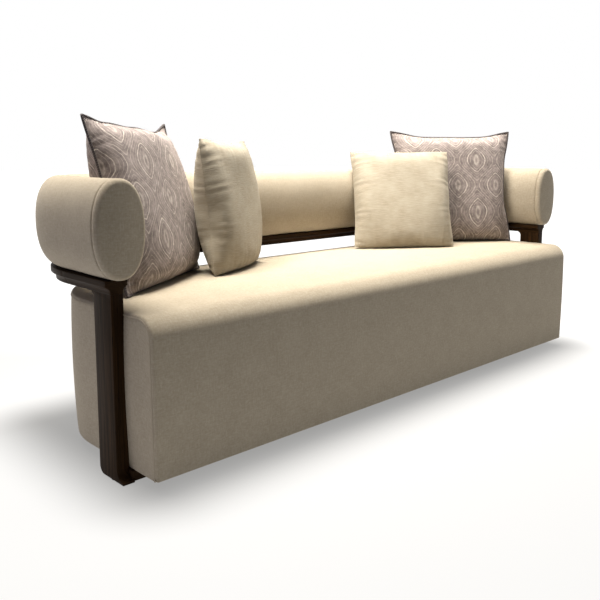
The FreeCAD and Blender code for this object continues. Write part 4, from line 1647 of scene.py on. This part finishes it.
    def add_piping(self, placed: np.ndarray, materials: Materials) -> None:
        """Lays the piping cord along the seam.

        Args:
            placed: the cushion's points in the sofa's frame.
            materials: the materials by slot.
        """
        n = self.cells + 1
        index = np.arange(n * n).reshape(n, n)
        loop = np.concatenate([index[0, :-1], index[:-1, -1], index[-1, :0:-1], index[:0:-1, 0]])
        turn = math.radians(self.turn)
        up = np.array([-math.sin(turn), math.cos(turn), 0.0])
        cord = tube(placed[loop], self.piping, 8, up, closed=True).build(self.name + "_cord")
        give(cord, "dark_piping", self.name, [self.name + "_piping"], materials)


CUSHIONS = (
    Cushion("scatter_left", Cloth.PATTERNED, (0.524, 0.505, 0.150), (-0.972, 0.239, 0.451), 33.0, 13.2,
            barrel=0.05, dent=(0.62, 0.018, 0.35), pinch=0.5),
    Cushion("plain_left", Cloth.PLAIN, (0.416, 0.443, 0.140), (-0.617, 0.322, 0.4465), 31.0, 6.0, bow=0.012),
    Cushion("plain_right", Cloth.PLAIN, (0.422, 0.430, 0.130), (0.234, 0.506, 0.4465), -38.5, 19.2),
    Cushion("scatter_right", Cloth.PATTERNED, (0.540, 0.497, 0.150), (0.529, 0.528, 0.451), -34.0, 9.0,
            barrel=0.03, flare=0.03, pinch=0.4),
)


@dataclass(frozen=True)
class Lamp:
    """A rectangular softbox that shines from a place towards an aim, over a spread in degrees."""

    name: str
    place: Triple
    aim: Triple
    size: tuple[float, float]
    spread: float
    watts: float
    colour: str

    def hang(self) -> None:
        """Adds the lamp to the scene."""
        data = bpy.data.lights.new(self.name, "AREA")
        data.shape = "RECTANGLE"
        data.size, data.size_y = self.size
        data.spread = math.radians(self.spread)
        data.energy = self.watts
        data.color = linear(self.colour)[:3]
        lamp = bpy.data.objects.new(self.name, data)
        lamp.location = self.place
        x, y, z = np.array(self.aim) - np.array(self.place)
        tilt = math.pi / 2 + math.atan2(z, math.hypot(x, y))
        lamp.rotation_euler = (tilt, 0.0, math.atan2(y, x) - math.pi / 2)
        bpy.context.scene.collection.objects.link(lamp)


LAMPS = (
    Lamp("downlight", (0.55, 0.1, 2.6), (0.55, 0.11, 0.4), (3.3, 0.8), 60.0, 44.0, "FFFAF0"),
    Lamp("spot", (-0.95, -0.15, 2.3), (1.0, 0.1, 0.75), (0.5, 0.5), 62.0, 4.0, "FFF8EC"),
    Lamp("key", (-1.3, 0.2, 2.6), (0.0, 0.0, 0.45), (0.5, 0.5), 80.0, 12.0, "FFFAF2"),
    Lamp("left", (-3.6, 0.4, 0.8), (-0.9, 0.0, 0.4), (1.8, 1.4), 180.0, 8.5, "E7E0FF"),
)


@dataclass
class Studio:
    """Camera at the photograph's angle, soft lamps above and at the left, a white room and a lit floor.

    The painted shadow footprint is half the length and depth of the painted shadow that the floor's glow
    holds under the sofa, and the painted shadow fade is how wide that painted shadow fades out.
    """

    camera_place: Triple = (-1.9448, -1.8125, 0.8309)
    yaw: float = 43.64
    pitch: float = 7.77
    lens: float = 42.98
    shift: float = -0.0759
    floor_half: float = 40.0
    painted_shadow_footprint: tuple[float, float] = (1.0, 0.3)
    painted_shadow_fade: float = 0.3

    def camera(self) -> None:
        """Places the camera."""
        data = bpy.data.cameras.new("camera")
        data.sensor_width = 36.0
        data.lens = self.lens
        data.shift_y = self.shift
        data.clip_end = 200.0
        camera = bpy.data.objects.new("camera", data)
        camera.location = self.camera_place
        camera.rotation_euler = (math.radians(90.0 - self.pitch), 0.0, math.radians(-self.yaw))
        bpy.context.scene.collection.objects.link(camera)
        bpy.context.scene.camera = camera

    @staticmethod
    def room() -> None:
        """Sets a white room that sheds its light from behind the sofa, and little from in front."""
        world = bpy.data.worlds.new("room")
        world.use_nodes = True
        world.node_tree.nodes.clear()
        add = partial(add_node, world.node_tree)
        parts = add("SeparateXYZ", {0: add("TexCoord").outputs["Generated"]})
        away = add("Math", {0: parts.outputs[0], 1: parts.outputs[1]}, operation="ADD")
        back = add("MapRange", {0: away, 1: 0.2, 2: 0.9, 3: 0.1, 4: 1.0})
        seen = add("Math", {0: back, 1: add("LightPath").outputs["Is Camera Ray"]}, operation="MAXIMUM")
        shade = add("Background", {"Color": linear("FFFFFF"), "Strength": seen})
        add("OutputWorld", {"Surface": shade})
        bpy.context.scene.world = world

    def floor(self) -> None:
        """Lays a wide plain floor."""
        line = np.linspace(-self.floor_half, self.floor_half, 3)
        flat = flat_grid(line, line)
        shell = Shell()
        shell.add(np.concatenate([flat, np.zeros(flat.shape[:2] + (1,))], axis=-1), flat)
        obj = shell.build("studio_floor")
        obj.data.materials.append(self.floor_finish())

    def floor_finish(self) -> bpy.types.Material:
        """Milk glass lit from below, as on a light table, with a painted shadow: dim under the sofa, bright
        round it.

        Far in front it is seen white but sheds no light, as a screened floor does, and behind it is brighter.

        Returns:
            The material.
        """
        material, add = new_material("lit_milk_glass")
        parts = add("SeparateXYZ", {0: add("TexCoord").outputs["Object"]})
        outside = []
        for axis, half in enumerate(self.painted_shadow_footprint):
            size = add("Math", {0: parts.outputs[axis]}, operation="ABSOLUTE")
            over = add("Math", {0: size, 1: half}, operation="SUBTRACT")
            beyond = add("Math", {0: over, 1: 0.0}, operation="MAXIMUM")
            outside.append(add("Math", {0: beyond, 1: 2.0}, operation="POWER"))
        squares = add("Math", {0: outside[0], 1: outside[1]}, operation="ADD")
        away = add("Math", {0: squares}, operation="SQRT")
        # Painted shadow: the floor's glow falls from 0.92 to 0.35 towards the sofa's footprint
        near = add("MapRange", {0: away, 1: 0.0, 2: self.painted_shadow_fade, 3: 0.35, 4: 0.92},
                   interpolation_type="SMOOTHSTEP")
        ahead = add("Math", {0: parts.outputs[0], 1: parts.outputs[1]}, operation="ADD")
        front = add("MapRange", {0: ahead, 1: -3.0, 2: -2.5, 3: 0.0, 4: 1.0})
        behind = add("MapRange", {0: ahead, 1: 0.3, 2: 1.2, 3: 1.0, 4: 1.25})
        seen = add("Math", {0: front, 1: add("LightPath").outputs["Is Camera Ray"]}, operation="MAXIMUM")
        lit = add("Math", {0: near, 1: seen}, operation="MULTIPLY")
        light = add("Math", {0: lit, 1: behind}, operation="MULTIPLY")
        shader = add("BsdfPrincipled", {
            "Base Color": linear("4A4948"), "Roughness": 0.9, "Specular IOR Level": 0.1,
            "Emission Color": linear("FFFEFC"), "Emission Strength": light})
        add("OutputMaterial", {"Surface": shader})
        return material

    def build(self) -> None:
        """Sets up the whole studio."""
        self.camera()
        for lamp in LAMPS:
            lamp.hang()
        self.room()
        self.floor()
        bpy.context.scene.view_settings.view_transform = "Standard"


def dress_inner_nodes(frame: dict, materials: Materials) -> None:
    """Gives every carried-over CAD node the material of its slot.

    Args:
        materials: the materials by slot.
    """
    slots = {part["node"]: part["material_slot"] for part in frame["record"]["subparts"]}
    for name, obj in frame["nodes"].items():
        obj.data.materials.clear()
        obj.data.materials.append(materials[slots[name]])


def main() -> None:
    """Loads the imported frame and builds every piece."""
    logging.basicConfig(level=logging.INFO, format="%(message)s")
    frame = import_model()
    Studio().build()
    materials = {slot: finish.make() for slot, finish in FINISHES.items()}
    dress_inner_nodes(frame, materials)
    seat, roll = Seat(), Roll()
    seat.dress(materials)
    roll.dress(materials)
    WoodenFrame().dress(materials)
    for cushion in CUSHIONS:
        cushion.build(seat, roll, materials)


if __name__ == "__main__":
    main()
